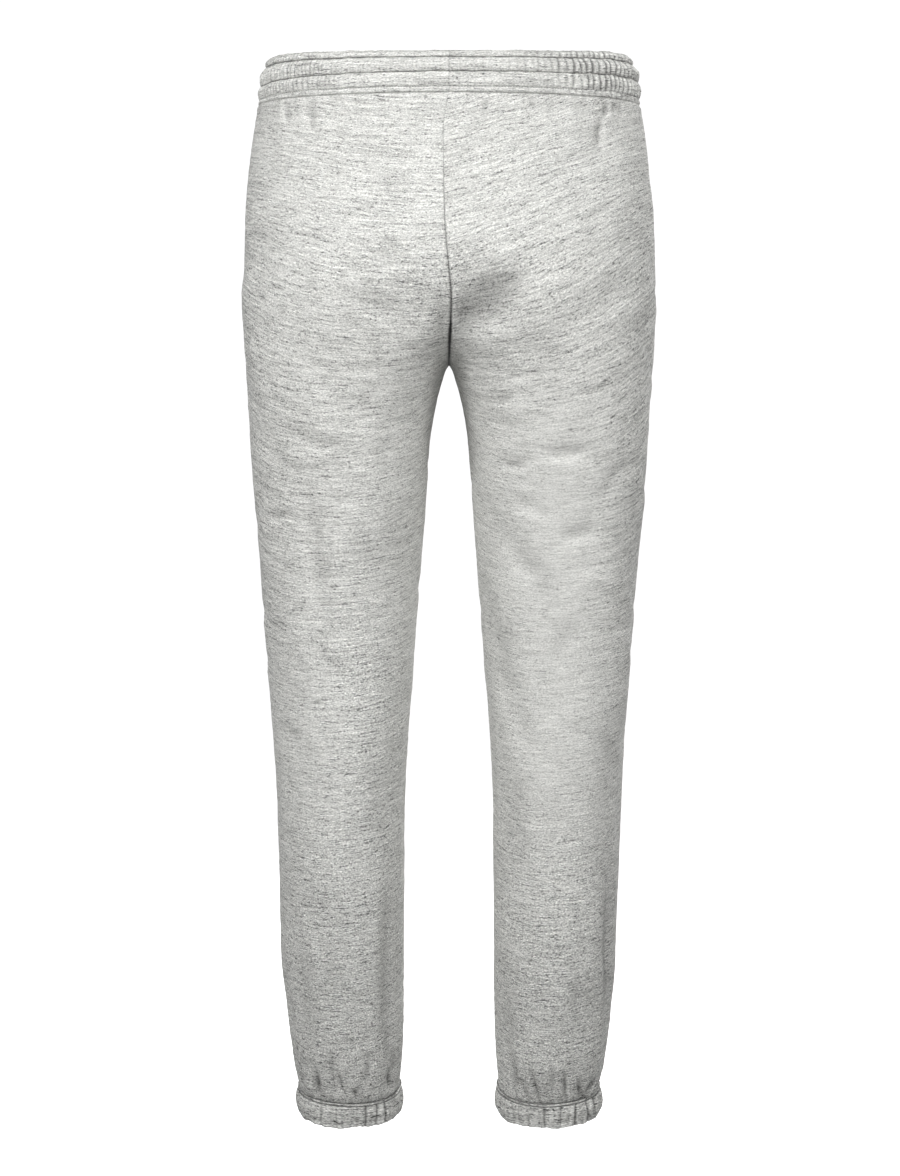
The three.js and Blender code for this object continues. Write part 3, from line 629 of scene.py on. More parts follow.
def leg_object(name, hand, a, n, material):
    side = a["side"]
    out, inside, dark, quiet = dress_panel(a, n, hand)
    rows, columns = out.shape[:2]
    v = course(a["p"], a["z"], a["mid"], side, hand)
    u = -a["left"] * hand + (700 if side < 0 else 0) + (1500 if hand < 0 else 0)
    out, inside = out * [hand, 1, 1], inside * [hand, 1, 1]
    points = np.concatenate([out.reshape(-1, 3), inside.reshape(-1, 3)])
    o = np.arange(rows * columns).reshape(rows, columns)
    i = o + rows * columns

    # unrolled places for the baked picture: the outside in two strips beside
    # each other, the inside smaller above them, the edges beyond the outside
    split = int(np.argmin(np.abs(a["z"][:, 0] + 478)))
    size = 668.0
    down = np.concatenate([[0], np.cumsum(np.linalg.norm(np.diff(a["p"][:, columns // 2], axis=0), axis=1))])
    down = np.repeat(down[:, None], columns, 1)
    across = a["want"]
    widest = across.max()

    def place(r0, r1, x0, y0, k=1.0):
        return x0 + across[r0:r1] * k, y0 + (down[r0:r1] - down[r0, 0]) * k

    faces, bake, cloth = [], [], []

    def put(index, bu, bv, cu, cv, flip):
        f, b, c = quads(index), corner_uv(bu / size, bv / size), corner_uv(cu / 1000, cv / 1000)
        if flip:
            f, b, c = f[:, ::-1], b[:, ::-1], c[:, ::-1]
        faces.append(f), bake.append(b), cloth.append(c)

    out_flip = hand * side > 0
    x_a, x_b, top_y = 8.0, 8.0 + widest + 16, 8.0
    for r0, r1, x0 in ((0, split + 1, x_a), (split, rows, x_b)):
        bu, bv = place(r0, r1, x0, top_y)
        put(o[r0:r1], bu, bv, u[r0:r1], v[r0:r1], out_flip)
        # edges at the middle seam and at the side seam
        for col, step in ((0, -1), (columns - 1, 1)):
            index = np.stack([o[r0:r1, col], i[r0:r1, col]], 1)
            eu = np.stack([bu[:, col], bu[:, col] + 3.0 * step], 1)
            ev = np.stack([bv[:, col], bv[:, col]], 1)
            cu = np.stack([u[r0:r1, col], u[r0:r1, col] + 2.0 * step], 1)
            cv = np.stack([v[r0:r1, col], v[r0:r1, col]], 1)
            put(index, eu, ev, cu, cv, out_flip if step > 0 else not out_flip)
    # edges at the waist and at the cuff
    for row, x0, y0, step in ((0, x_a, top_y, -1), (rows - 1, x_b, top_y + down[-1, 0] - down[split, 0], 1)):
        index = np.stack([o[row], i[row]], 0)
        eu = np.stack([x0 + across[row]] * 2, 0)
        ev = np.stack([np.full(columns, y0), np.full(columns, y0 + 3.0 * step)], 0)
        cu, cv = np.stack([u[row]] * 2, 0), np.stack([v[row], v[row] - 2.0 * step], 0)
        put(index, eu, ev, cu, cv, out_flip if step > 0 else not out_flip)
    # the inside, on its side above the strips
    k = 0.55
    y_in = top_y + max(down[split, 0], down[-1, 0] - down[split, 0]) + 14
    put(i, 8.0 + down * k, y_in + across * k, u + 90, v * 0.8 + 40, not out_flip)
    # the outside's marl plainness (partly painted shade) and its painted shade; the inside is flagged with 1 and has no
    # painted shade
    inner = np.concatenate([quiet.ravel(), np.ones(rows * columns)])
    dark = np.concatenate([dark.ravel(), np.zeros(rows * columns)])
    return new_mesh(name, points, np.concatenate(faces), np.concatenate(cloth), np.concatenate(bake), inner, dark, material)


def ring_object(name, grid, around, profile, strips, inner, dark, material, shift=(0, 0), flip=False):
    """A closed band from a grid of points: rows round the profile, columns
    round the ring. Both directions close on themselves."""
    rows, columns = grid.shape[:2]
    points = grid.reshape(-1, 3)
    index = np.arange(rows * columns).reshape(rows, columns)
    index = np.concatenate([index, index[:1]], 0)
    index = np.concatenate([index, index[:, :1]], 1)
    total = profile[-1]
    cv = np.repeat(profile[:, None], columns + 1, 1)
    cu = np.repeat(around[None, :], rows + 1, 0)
    height = total + 8
    size = max(around[-1] / strips + 10, strips * height + 4)
    cut = [round(columns * k / strips) for k in range(strips + 1)]
    faces, cloth, bake = [], [], []
    for k in range(strips):
        c0, c1 = cut[k], cut[k + 1] + 1
        f = quads(index[:, c0:c1])
        b = corner_uv((cu[:, c0:c1] - around[c0] + 5) / size, (cv[:, c0:c1] + 4 + k * height) / size)
        c = corner_uv((cu[:, c0:c1] + shift[0]) / 1000, (cv[:, c0:c1] + shift[1]) / 1000)
        if flip:
            f, b, c = f[:, ::-1], b[:, ::-1], c[:, ::-1]
        faces.append(f), bake.append(b), cloth.append(c)
    return new_mesh(name, points, np.concatenate(faces), np.concatenate(cloth), np.concatenate(bake), np.asarray(inner), np.asarray(dark), material)


def stitches(name, paths, material, length=1.9, gap=0.75, radius=0.26):
    """Thread stitches laid along closed lines of points and outward directions."""
    verts = []
    ringed = [(-0.5, 0.25), (-0.34, 0.85), (0.0, 1.0), (0.34, 0.85), (0.5, 0.25)]
    n = 5
    for points, normals in paths:
        step = np.linalg.norm(np.diff(np.concatenate([points, points[:1]]), axis=0), axis=1)
        run = np.concatenate([[0], np.cumsum(step)])
        count_here = int(run[-1] // (length + gap))
        mids = (np.arange(count_here) + 0.5) * run[-1] / count_here
        loop_p, loop_n = np.concatenate([points, points[:1]]), np.concatenate([normals, normals[:1]])

        def at(s, table):
            s = np.mod(s, run[-1])
            return np.stack([np.interp(s, run, table[:, k]) for k in range(3)], -1)
        axis = unit(at(mids + length / 2, loop_p) - at(mids - length / 2, loop_p))
        centre, up = at(mids, loop_p), unit(at(mids, loop_n))
        across = unit(np.cross(axis, up))
        up = np.cross(across, axis)
        for t, r in ringed:
            bend = 0.22 * (1 - (2 * t) ** 2)
            for k in range(n):
                w = 2 * math.pi * k / n
                verts.append(centre + axis * (t * length) + up * (bend - 0.05 + radius * r * math.cos(w)) + across * (radius * 1.15 * r * math.sin(w)))
    # gather: points are stored ring by ring, all the stitches of a path together
    blocks, all_faces, at_block = [], [], 0
    k = 0
    for points, normals in paths:
        these = verts[k:k + len(ringed) * n]
        k += len(ringed) * n
        m = len(these[0])
        blocks.append(np.stack(these, 1).reshape(-1, 3))
        ids = at_block + np.arange(m)[:, None] * (len(ringed) * n)
        for a in range(len(ringed) - 1):
            for j in range(n):
                q = np.array([a * n + j, a * n + (j + 1) % n, (a + 1) * n + (j + 1) % n, (a + 1) * n + j])
                all_faces.append(ids + q)
        at_block += m * len(ringed) * n
    mesh = bpy.data.meshes.new(name)
    quad = np.concatenate(all_faces)
    caps = []
    at_block = 0
    for b in blocks:
        m = len(b) // (len(ringed) * n)
        ids = at_block + np.arange(m)[:, None] * (len(ringed) * n)
        caps.append(ids + np.arange(n)[::-1])
        caps.append(ids + (len(ringed) - 1) * n + np.arange(n))
        at_block += len(b)
    caps = np.concatenate(caps)
    points = np.concatenate(blocks) * 0.001
    mesh.vertices.add(len(points))
    mesh.vertices.foreach_set("co", points.astype(np.float32).ravel())
    mesh.loops.add(quad.size + caps.size)
    mesh.loops.foreach_set("vertex_index", np.concatenate([quad.ravel(), caps.ravel()]).astype(np.int32))
    mesh.polygons.add(len(quad) + len(caps))
    starts = np.concatenate([np.arange(len(quad)) * 4, quad.size + np.arange(len(caps)) * n])
    totals = np.concatenate([np.full(len(quad), 4), np.full(len(caps), n)])
    mesh.polygons.foreach_set("loop_start", starts.astype(np.int32))
    mesh.polygons.foreach_set("loop_total", totals.astype(np.int32))
    mesh.update(calc_edges=True)
    mesh.polygons.foreach_set("use_smooth", np.full(len(quad) + len(caps), True))
    mesh.materials.append(material)
    mesh.validate()
    obj = bpy.data.objects.new(name, mesh)
    bpy.context.scene.collection.objects.link(obj)
    return obj


# --------------------------------------------------------------- materials
def marl(name, colour, contrast=1.0, dark=1.0, shade=1.0, seed=0.0, grow=0.0):
    """Grey marl sweatshirt cloth: fine pale ground with short flecks that run
    along the courses, softer and plainer on the brushed inside, and darker
    where the mesh's painted shade attribute says."""
    m = bpy.data.materials.new(name)
    m.use_nodes = True
    nt = m.node_tree
    nt.nodes.clear()
    link = nt.links.new

    def node(kind, **values):
        made = nt.nodes.new(kind)
        for k, val in values.items():
            setattr(made, k, val)
        return made

    def math_node(op, a, b=None, clamp=False):
        made = node("ShaderNodeMath", operation=op, use_clamp=clamp)
        for k, val in enumerate((a, b)):
            if val is None:
                continue
            if isinstance(val, (int, float)):
                made.inputs[k].default_value = val
            else:
                link(val, made.inputs[k])
        return made.outputs[0]

    uv = node("ShaderNodeUVMap", uv_map="Cloth").outputs["UV"]

    def noise(across, along, detail, where, rough=0.5, source=None):
        scale = node("ShaderNodeVectorMath", operation="MULTIPLY_ADD")
        link(source or uv, scale.inputs[0])
        scale.inputs[1].default_value = (1000 / across, 1000 / along, 0)
        scale.inputs[2].default_value = (where * 3.7 + seed, where * 1.9 - seed, where + seed)
        made = node("ShaderNodeTexNoise", noise_dimensions="3D")
        made.inputs["Scale"].default_value = 1.0
        made.inputs["Detail"].default_value = detail
        made.inputs["Roughness"].default_value = rough
        link(scale.outputs[0], made.inputs["Vector"])
        return made.outputs["Fac"]

    # the courses waver
    waver = math_node("MULTIPLY", math_node("SUBTRACT", noise(38, 15, 1, 5.1), 0.5), 0.0034)
    bend = node("ShaderNodeCombineXYZ")
    link(waver, bend.inputs["Y"])
    add = node("ShaderNodeVectorMath", operation="ADD")
    link(uv, add.inputs[0])
    link(bend.outputs[0], add.inputs[1])
    bent = add.outputs[0]

    def centred(value, amount):
        return math_node("MULTIPLY", math_node("SUBTRACT", value, 0.5), amount)

    def fleck(value, low, high, amount):
        ramp = node("ShaderNodeMapRange", interpolation_type="SMOOTHSTEP", clamp=True)
        link(value, ramp.inputs["Value"])
        ramp.inputs["From Min"].default_value, ramp.inputs["From Max"].default_value = low, high
        ramp.inputs["To Min"].default_value, ramp.inputs["To Max"].default_value = 0.0, amount
        return ramp.outputs["Result"]

    long_streak = noise(42, 1.7, 2, 1.3, source=bent)
    streak = noise(13.0, 1.25, 2, 2.7, source=bent)
    fibre = noise(2.0, 0.90, 2, 3.9, source=bent)
    dark_fleck = noise(4.0, 1.20, 1.5, 7.7, 0.6, source=bent)
    dark_long = noise(13.0, 1.3, 1.5, 12.3, 0.6, source=bent)
    light_fleck = noise(7.0, 1.5, 1.5, 9.1, 0.6, source=bent)
    cloud = noise(70, 48, 2, 11.0)

    pattern = math_node("ADD", centred(long_streak, 0.85 * contrast), centred(streak, 0.78 * contrast))
    pattern = math_node("ADD", pattern, centred(fibre, 1.50 * contrast))
    pattern = math_node("ADD", pattern, centred(cloud, 0.10))
    pattern = math_node("SUBTRACT", pattern, fleck(dark_fleck, 0.58, 0.67, 0.45 * dark))
    pattern = math_node("SUBTRACT", pattern, fleck(dark_long, 0.59, 0.70, 0.36 * dark))
    pattern = math_node("ADD", pattern, fleck(light_fleck, 0.58, 0.72, 0.26 * contrast))
    if grow:
        # the flecks show more towards the ankles
        parts = node("ShaderNodeSeparateXYZ")
        link(uv, parts.inputs[0])
        lower = fleck(math_node("MULTIPLY", parts.outputs["Y"], -1.0), 0.2, 0.95, 1.0)
        pattern = math_node("SUBTRACT", pattern, math_node("MULTIPLY", centred(long_streak, 0.6 * contrast), lower))
        pattern = math_node("MULTIPLY", pattern, math_node("ADD", math_node("MULTIPLY", lower, grow), 1.0))
        fuzz = centred(noise(1.35, 1.0, 2, 21.0, 0.6, source=bent), 2.5 * contrast)
        pattern = math_node("ADD", pattern, math_node("MULTIPLY", fuzz, math_node("ADD", math_node("MULTIPLY", lower, 0.65), 0.5)))
    # the inside is brushed: plainer and a little lighter. On the outside the same attribute says how plain the marl is
    # and shifts its tone a few percent; where it is negative, at the side seams and under the seat, that darker tone is
    # painted shade
    inside = node("ShaderNodeAttribute", attribute_name="inside", attribute_type="GEOMETRY").outputs["Fac"]
    plain = math_node("SUBTRACT", 1.0, math_node("MULTIPLY", inside, 0.72))
    pattern = math_node("MULTIPLY", pattern, plain)
    value = math_node("ADD", pattern, shade)
    value = math_node("ADD", value, math_node("MULTIPLY", inside, 0.04))
    value = math_node("MAXIMUM", value, 0.12)
    # painted shade: the bottom of a seam, a crease or a gather is darker, and so are the slit at the fork and soft
    # patches under the seat
    hollow = node("ShaderNodeAttribute", attribute_name="hollow", attribute_type="GEOMETRY").outputs["Fac"]
    value = math_node("MULTIPLY", value, math_node("SUBTRACT", 1.0, math_node("MULTIPLY", hollow, 0.72)))
    mix = node("ShaderNodeVectorMath", operation="SCALE")
    mix.inputs[0].default_value = colour
    link(value, mix.inputs["Scale"])

    bump_height = math_node("ADD", centred(streak, 0.5), centred(fibre, 0.9))
    nap = noise(1.5, 1.3, 2, 15.0, 0.6)
    bump_height = math_node("ADD", bump_height, centred(nap, 0.6))
    bump = node("ShaderNodeBump")
    bump.inputs["Strength"].default_value = 0.35
    bump.inputs["Distance"].default_value = 0.0005
    link(bump_height, bump.inputs["Height"])

    shader = node("ShaderNodeBsdfPrincipled")
    shader.inputs["Roughness"].default_value = 0.93
    shader.inputs["Specular IOR Level"].default_value = 0.12
    shader.inputs["Sheen Weight"].default_value = 0.10
    shader.inputs["Sheen Roughness"].default_value = 0.55
    link(mix.outputs[0], shader.inputs["Base Color"])
    link(bump.outputs[0], shader.inputs["Normal"])
    output = node("ShaderNodeOutputMaterial")
    link(shader.outputs[0], output.inputs["Surface"])
    return m


def thread(name, colour):
    m = bpy.data.materials.new(name)
    m.use_nodes = True
    nt = m.node_tree
    shader = nt.nodes["Principled BSDF"]
    where = nt.nodes.new("ShaderNodeTexCoord")
    grain = nt.nodes.new("ShaderNodeTexNoise")
    grain.inputs["Scale"].default_value = 900
    grain.inputs["Detail"].default_value = 2
    ramp = nt.nodes.new("ShaderNodeMapRange")
    ramp.inputs["To Min"].default_value, ramp.inputs["To Max"].default_value = 0.82, 1.12
    tint = nt.nodes.new("ShaderNodeVectorMath")
    tint.operation = "SCALE"
    tint.inputs[0].default_value = colour
    nt.links.new(where.outputs["Object"], grain.inputs["Vector"])
    nt.links.new(grain.outputs["Fac"], ramp.inputs["Value"])
    nt.links.new(ramp.outputs["Result"], tint.inputs["Scale"])
    nt.links.new(tint.outputs[0], shader.inputs["Base Color"])
    shader.inputs["Roughness"].default_value = 0.7
    shader.inputs["Specular IOR Level"].default_value = 0.25
    return m


GREY = (0.608, 0.608, 0.585)
cloth = marl("marl_cloth", GREY, grow=0.36)
band_cloth = marl("marl_band", GREY, contrast=1.15, dark=1.15, shade=1.06, seed=3.1)
cuff_cloth = marl("marl_cuff", (0.602, 0.602, 0.580), contrast=1.55, dark=1.5, seed=6.4)
# the thread is darker than the cloth; along the stitch lines this also stands in for the shade in their grooves, so it
# is partly painted shade
yarn = thread("grey_thread", (0.30, 0.305, 0.295))

# ------------------------------------------------------------------ pieces
LEVELS = leg_levels()
panels = {side: base_panel(LEVELS, side) for side in (1, -1)}
normals = {side: base_normals(panels[side], panels[-side]) for side in (1, -1)}


def smooth_rows(n, times=2):
    for _ in range(times):
        n = n.copy()
        n[1:-1] = 0.25 * n[:-2] + 0.5 * n[1:-1] + 0.25 * n[2:]
    return unit(n)


made = {}
for hand, which in ((1, "left"), (-1, "right")):
    for side, part in ((1, "back"), (-1, "front")):
        name = f"{part}_{which}"
        made[name] = leg_object(f"{name}_panel", hand, panels[side], normals[side], cloth)


def closed_line(points, count):
    """The same closed line of points at even steps, with its outward direction."""
    loop = np.concatenate([points, points[:1]])
    run = np.concatenate([[0], np.cumsum(np.linalg.norm(np.diff(loop, axis=0), axis=1))])
    s = np.arange(count) * run[-1] / count
    p = np.stack([np.interp(s, run, loop[:, k]) for k in range(2)], -1)
    for _ in range(3):
        p = 0.25 * np.roll(p, 1, 0) + 0.5 * p + 0.25 * np.roll(p, -1, 0)
    t = np.roll(p, -1, 0) - np.roll(p, 1, 0)
    n = unit(np.stack([t[:, 1], -t[:, 0]], -1))
    if np.sum(n * (p - p.mean(0))) < 0:
        n = -n
    return p, n, np.concatenate([s, [run[-1]]])


def waistband():
    columns = 1000
    back, front = (half(np.array([WAIST_SEAM]), s) for s in (1, -1))
    bx, by, fx, fy = back["x"][0], back["y"][0], front["x"][0], front["y"][0]
    line = np.concatenate([
        np.stack([bx, by], -1)[:-1], np.stack([fx, fy], -1)[::-1][:-1],
        np.stack([-fx, fy], -1)[:-1], np.stack([-bx, by], -1)[::-1][:-1],
    ])
    ring, out, s = closed_line(line, columns)
    inset, lift_l, lift_r = (curve(BAND[:, 0], BAND[:, k]) for k in (1, 2, 3))

    # heights of the outside rows, close together at the stitch lines
    heights = []
    for a, b in zip(BAND_LINES[:-1], BAND_LINES[1:]):
        count = 13 if b - a > 9 else 8
        t = np.arange(count) / count
        heights += list(a + (b - a) * (t - 0.09 * np.sin(2 * math.pi * t)))
    heights = np.array(heights[1:] + [BAND_LINES[-1] - 0.6])
    heights = np.concatenate([[WAIST_SEAM + SEAM], heights])

    x_share = np.abs(ring[:, 0]) / 179.5
    lift = lambda h: np.where(ring[None, :, 0] > 0, lift_l(h)[:, None], lift_r(h)[:, None]) * x_share**2
    rng = np.random.default_rng(1201)
    total = s[-1]
    at_s = s[:-1]
    sides = 0.16 + 0.84 * ease((np.abs(ring[:, 0]) - np.where(ring[:, 0] > 0, 78, 54)) / 70)

    def channel(h):
        c = np.clip(np.searchsorted(BAND_LINES, h, side="right") - 1, 0, 3)
        low, high = np.array(BAND_LINES)[c], np.array(BAND_LINES)[c + 1]
        return c, (h - low) / (high - low)

    c_of, t_of = channel(heights)
    swell = np.array(BAND_FULL)[c_of] * (1 - np.abs(2 * t_of - 1) ** 2.3)
    gather = np.zeros((len(heights), columns))
    sway = np.zeros((len(heights), columns))
    for c in range(4):
        rows = c_of == c
        t = t_of[rows][:, None]
        deep = (0.8, 1.7, 1.7, 1.2)[c]
        at = rng.uniform(0, 4)
        across_shape = np.sin(math.pi * np.clip(t, 0.02, 0.98)) ** 0.45
        while at < total - 3:
            place = np.interp(at, s[:-1], sides)
            coarse = 1.0 if np.interp(at, s[:-1], ring[:, 0]) < 20 else 0.0
            width = rng.uniform(0.6, 1.05) + 0.55 * coarse
            place *= 0.72 + 0.45 * coarse
            if c == 1 and coarse:
                place *= 0.4 + 0.6 * float(ease((np.interp(at, s[:-1], np.abs(ring[:, 0])) - 100) / 45))
            slant = rng.normal() * 1.5
            d = np.abs((at_s[None, :] - at - slant * (t - 0.5) + total / 2) % total - total / 2)
            gather[rows] -= place * deep * rng.uniform(0.45, 1.0) * bell(d / width) * across_shape
            gather[rows] += place * deep * 0.28 * bell((d - width * 2.1) / (width * 1.2)) * across_shape
            at += rng.uniform(3.2, 5.8) + coarse * rng.uniform(1.2, 3.4)
        line_p = np.stack([np.cos(2 * math.pi * at_s / total) * total / 6.283, np.sin(2 * math.pi * at_s / total) * total / 6.283,
                           np.full(columns, c * 40.0)], -1)
        sway[rows] += (0.32 * uneven(line_p, 26, 60 + c, 20) + 0.18 * uneven(line_p, 11, 70 + c, 20))[None, :] * across_shape * (0.4 + 0.6 * sides)
    groove = np.zeros(len(heights))
    for line_h, deep in ((-13.9, 0.3), (0.4, 0.95), (14.0, 1.0)):
        groove -= deep * bell((heights - line_h) / 0.7)
    line_p = np.stack([ring[:, 0], ring[:, 1], np.zeros(columns)], -1)
    wave = 0.35 * uneven(line_p, 34, 81, 20) + 0.22 * uneven(line_p, 13, 82, 20)
    fill = 0.35 + 0.65 * ease((np.abs(ring[:, 0]) - 20) / 90)
    fill = fill * (1 - 0.9 * ease((np.abs(ring[:, 0]) - 140) / 40))
    offset = -inset(heights)[:, None] + swell[:, None] * (0.72 + 0.28 * fill)[None, :] + gather + sway + groove[:, None]
    seam_turn = -0.8 * bell((heights - WAIST_SEAM) / 1.2)
    offset += seam_turn[:, None]
    # the middle seam of the band, behind and in front
    for y_side in (1, -1):
        here = (ring[:, 1] * y_side > 0)
        offset += -0.55 * bell(ring[:, 0] / 0.9)[None, :] * here[None, :] * (0.5 + 0.5 * (swell / swell.max())[:, None])
    over = np.zeros(len(heights))
    for line_h, drop in ((-13.9, 0.35), (0.4, 0.95), (14.0, 0.6)):
        over -= drop * bell((heights - line_h - 1.5) / 1.1)
    zz = heights[:, None] + lift(heights) + over[:, None] + wave[None, :] * (0.45 + 0.55 * sides)[None, :] * ease((heights - WAIST_SEAM) / 5)[:, None]
    outer = np.concatenate([ring[None, :, :] + out[None, :, :] * offset[..., None], zz[..., None]], -1)

    # inside rows, from the top down
    inner_h = np.concatenate([[18.6, 17.2], np.linspace(15.5, WAIST_SEAM + 2, 17), [WAIST_SEAM + SEAM]])
    c_in, t_in = channel(inner_h)
    swell_in = 0.45 * np.array(BAND_FULL)[c_in] * (1 - np.abs(2 * t_in - 1) ** 2.3)
    gather_in = np.stack([np.interp(inner_h, heights, gather[:, k]) for k in range(columns)], 1)
    off_in = (-np.maximum(inset(inner_h), 1.2) - BAND_CLOTH - swell_in)[:, None] + 0.5 * gather_in
    off_in[0] += 0.7
    z_in = inner_h[:, None] + lift(inner_h) + wave[None, :] * (0.45 + 0.55 * sides)[None, :] * ease((inner_h - WAIST_SEAM) / 5)[:, None]
    inner = np.concatenate([ring[None, :, :] + out[None, :, :] * off_in[..., None], z_in[..., None]], -1)

    # the fold over the top
    a, b = outer[-1], inner[0]
    roll = []
    for k in (1, 2, 3, 4, 5):
        w = math.pi * k / 6
        mid, arm = (a + b) / 2, (a - b) / 2
        roll.append(mid + arm * math.cos(w) + np.array([0, 0, 1.0]) * math.sin(w) * 1.25)
    grid = np.concatenate([outer, np.stack(roll), inner])
    profile = np.concatenate([[0], np.cumsum(np.linalg.norm(np.diff(np.concatenate([grid, grid[:1]])[:, 0], axis=0), axis=1))])
    inner_flag = np.concatenate([np.zeros((len(outer) + 3, columns)), np.ones((len(grid) - len(outer) - 3, columns))])
    around = s.copy()
    # painted shade in the troughs of the gathers, along the seam and the stitch lines, and at the band's middle seams
    dark = np.clip(-gather * 0.75, 0, 0.8)
    broken = np.clip(0.75 + 0.35 * uneven(line_p, 15, 85, 20), 0.25, 1.2)
    for line_h, much in ((-19, 0.35), (-13.9, 0.28), (0.4, 0.75), (14.0, 0.95)):
        dark += much * bell((heights - line_h) / 0.7)[:, None] * broken[None, :]
    for y_side in (1, -1):
        dark += 0.35 * bell(ring[:, 0] / 0.7)[None, :] * (ring[:, 1] * y_side > 0)[None, :]
    hollow = np.zeros(grid.shape[:2])
    hollow[:len(outer)] = np.clip(dark, 0, 1)
    obj = ring_object("waistband_cloth", grid, around, profile, 3, inner_flag.ravel(), hollow.ravel(), band_cloth, shift=(40, 300), flip=WAIST_FLIP)

    paths = []
    for line_h in (-13.9, 0.4, 14.0):
        r = int(np.argmin(np.abs(heights - line_h)))
        n = np.concatenate([out, np.zeros((columns, 1))], -1)
        paths.append((grid[r] + n * 0.10, n))
    return obj, stitches("waistband_stitches", paths, yarn)


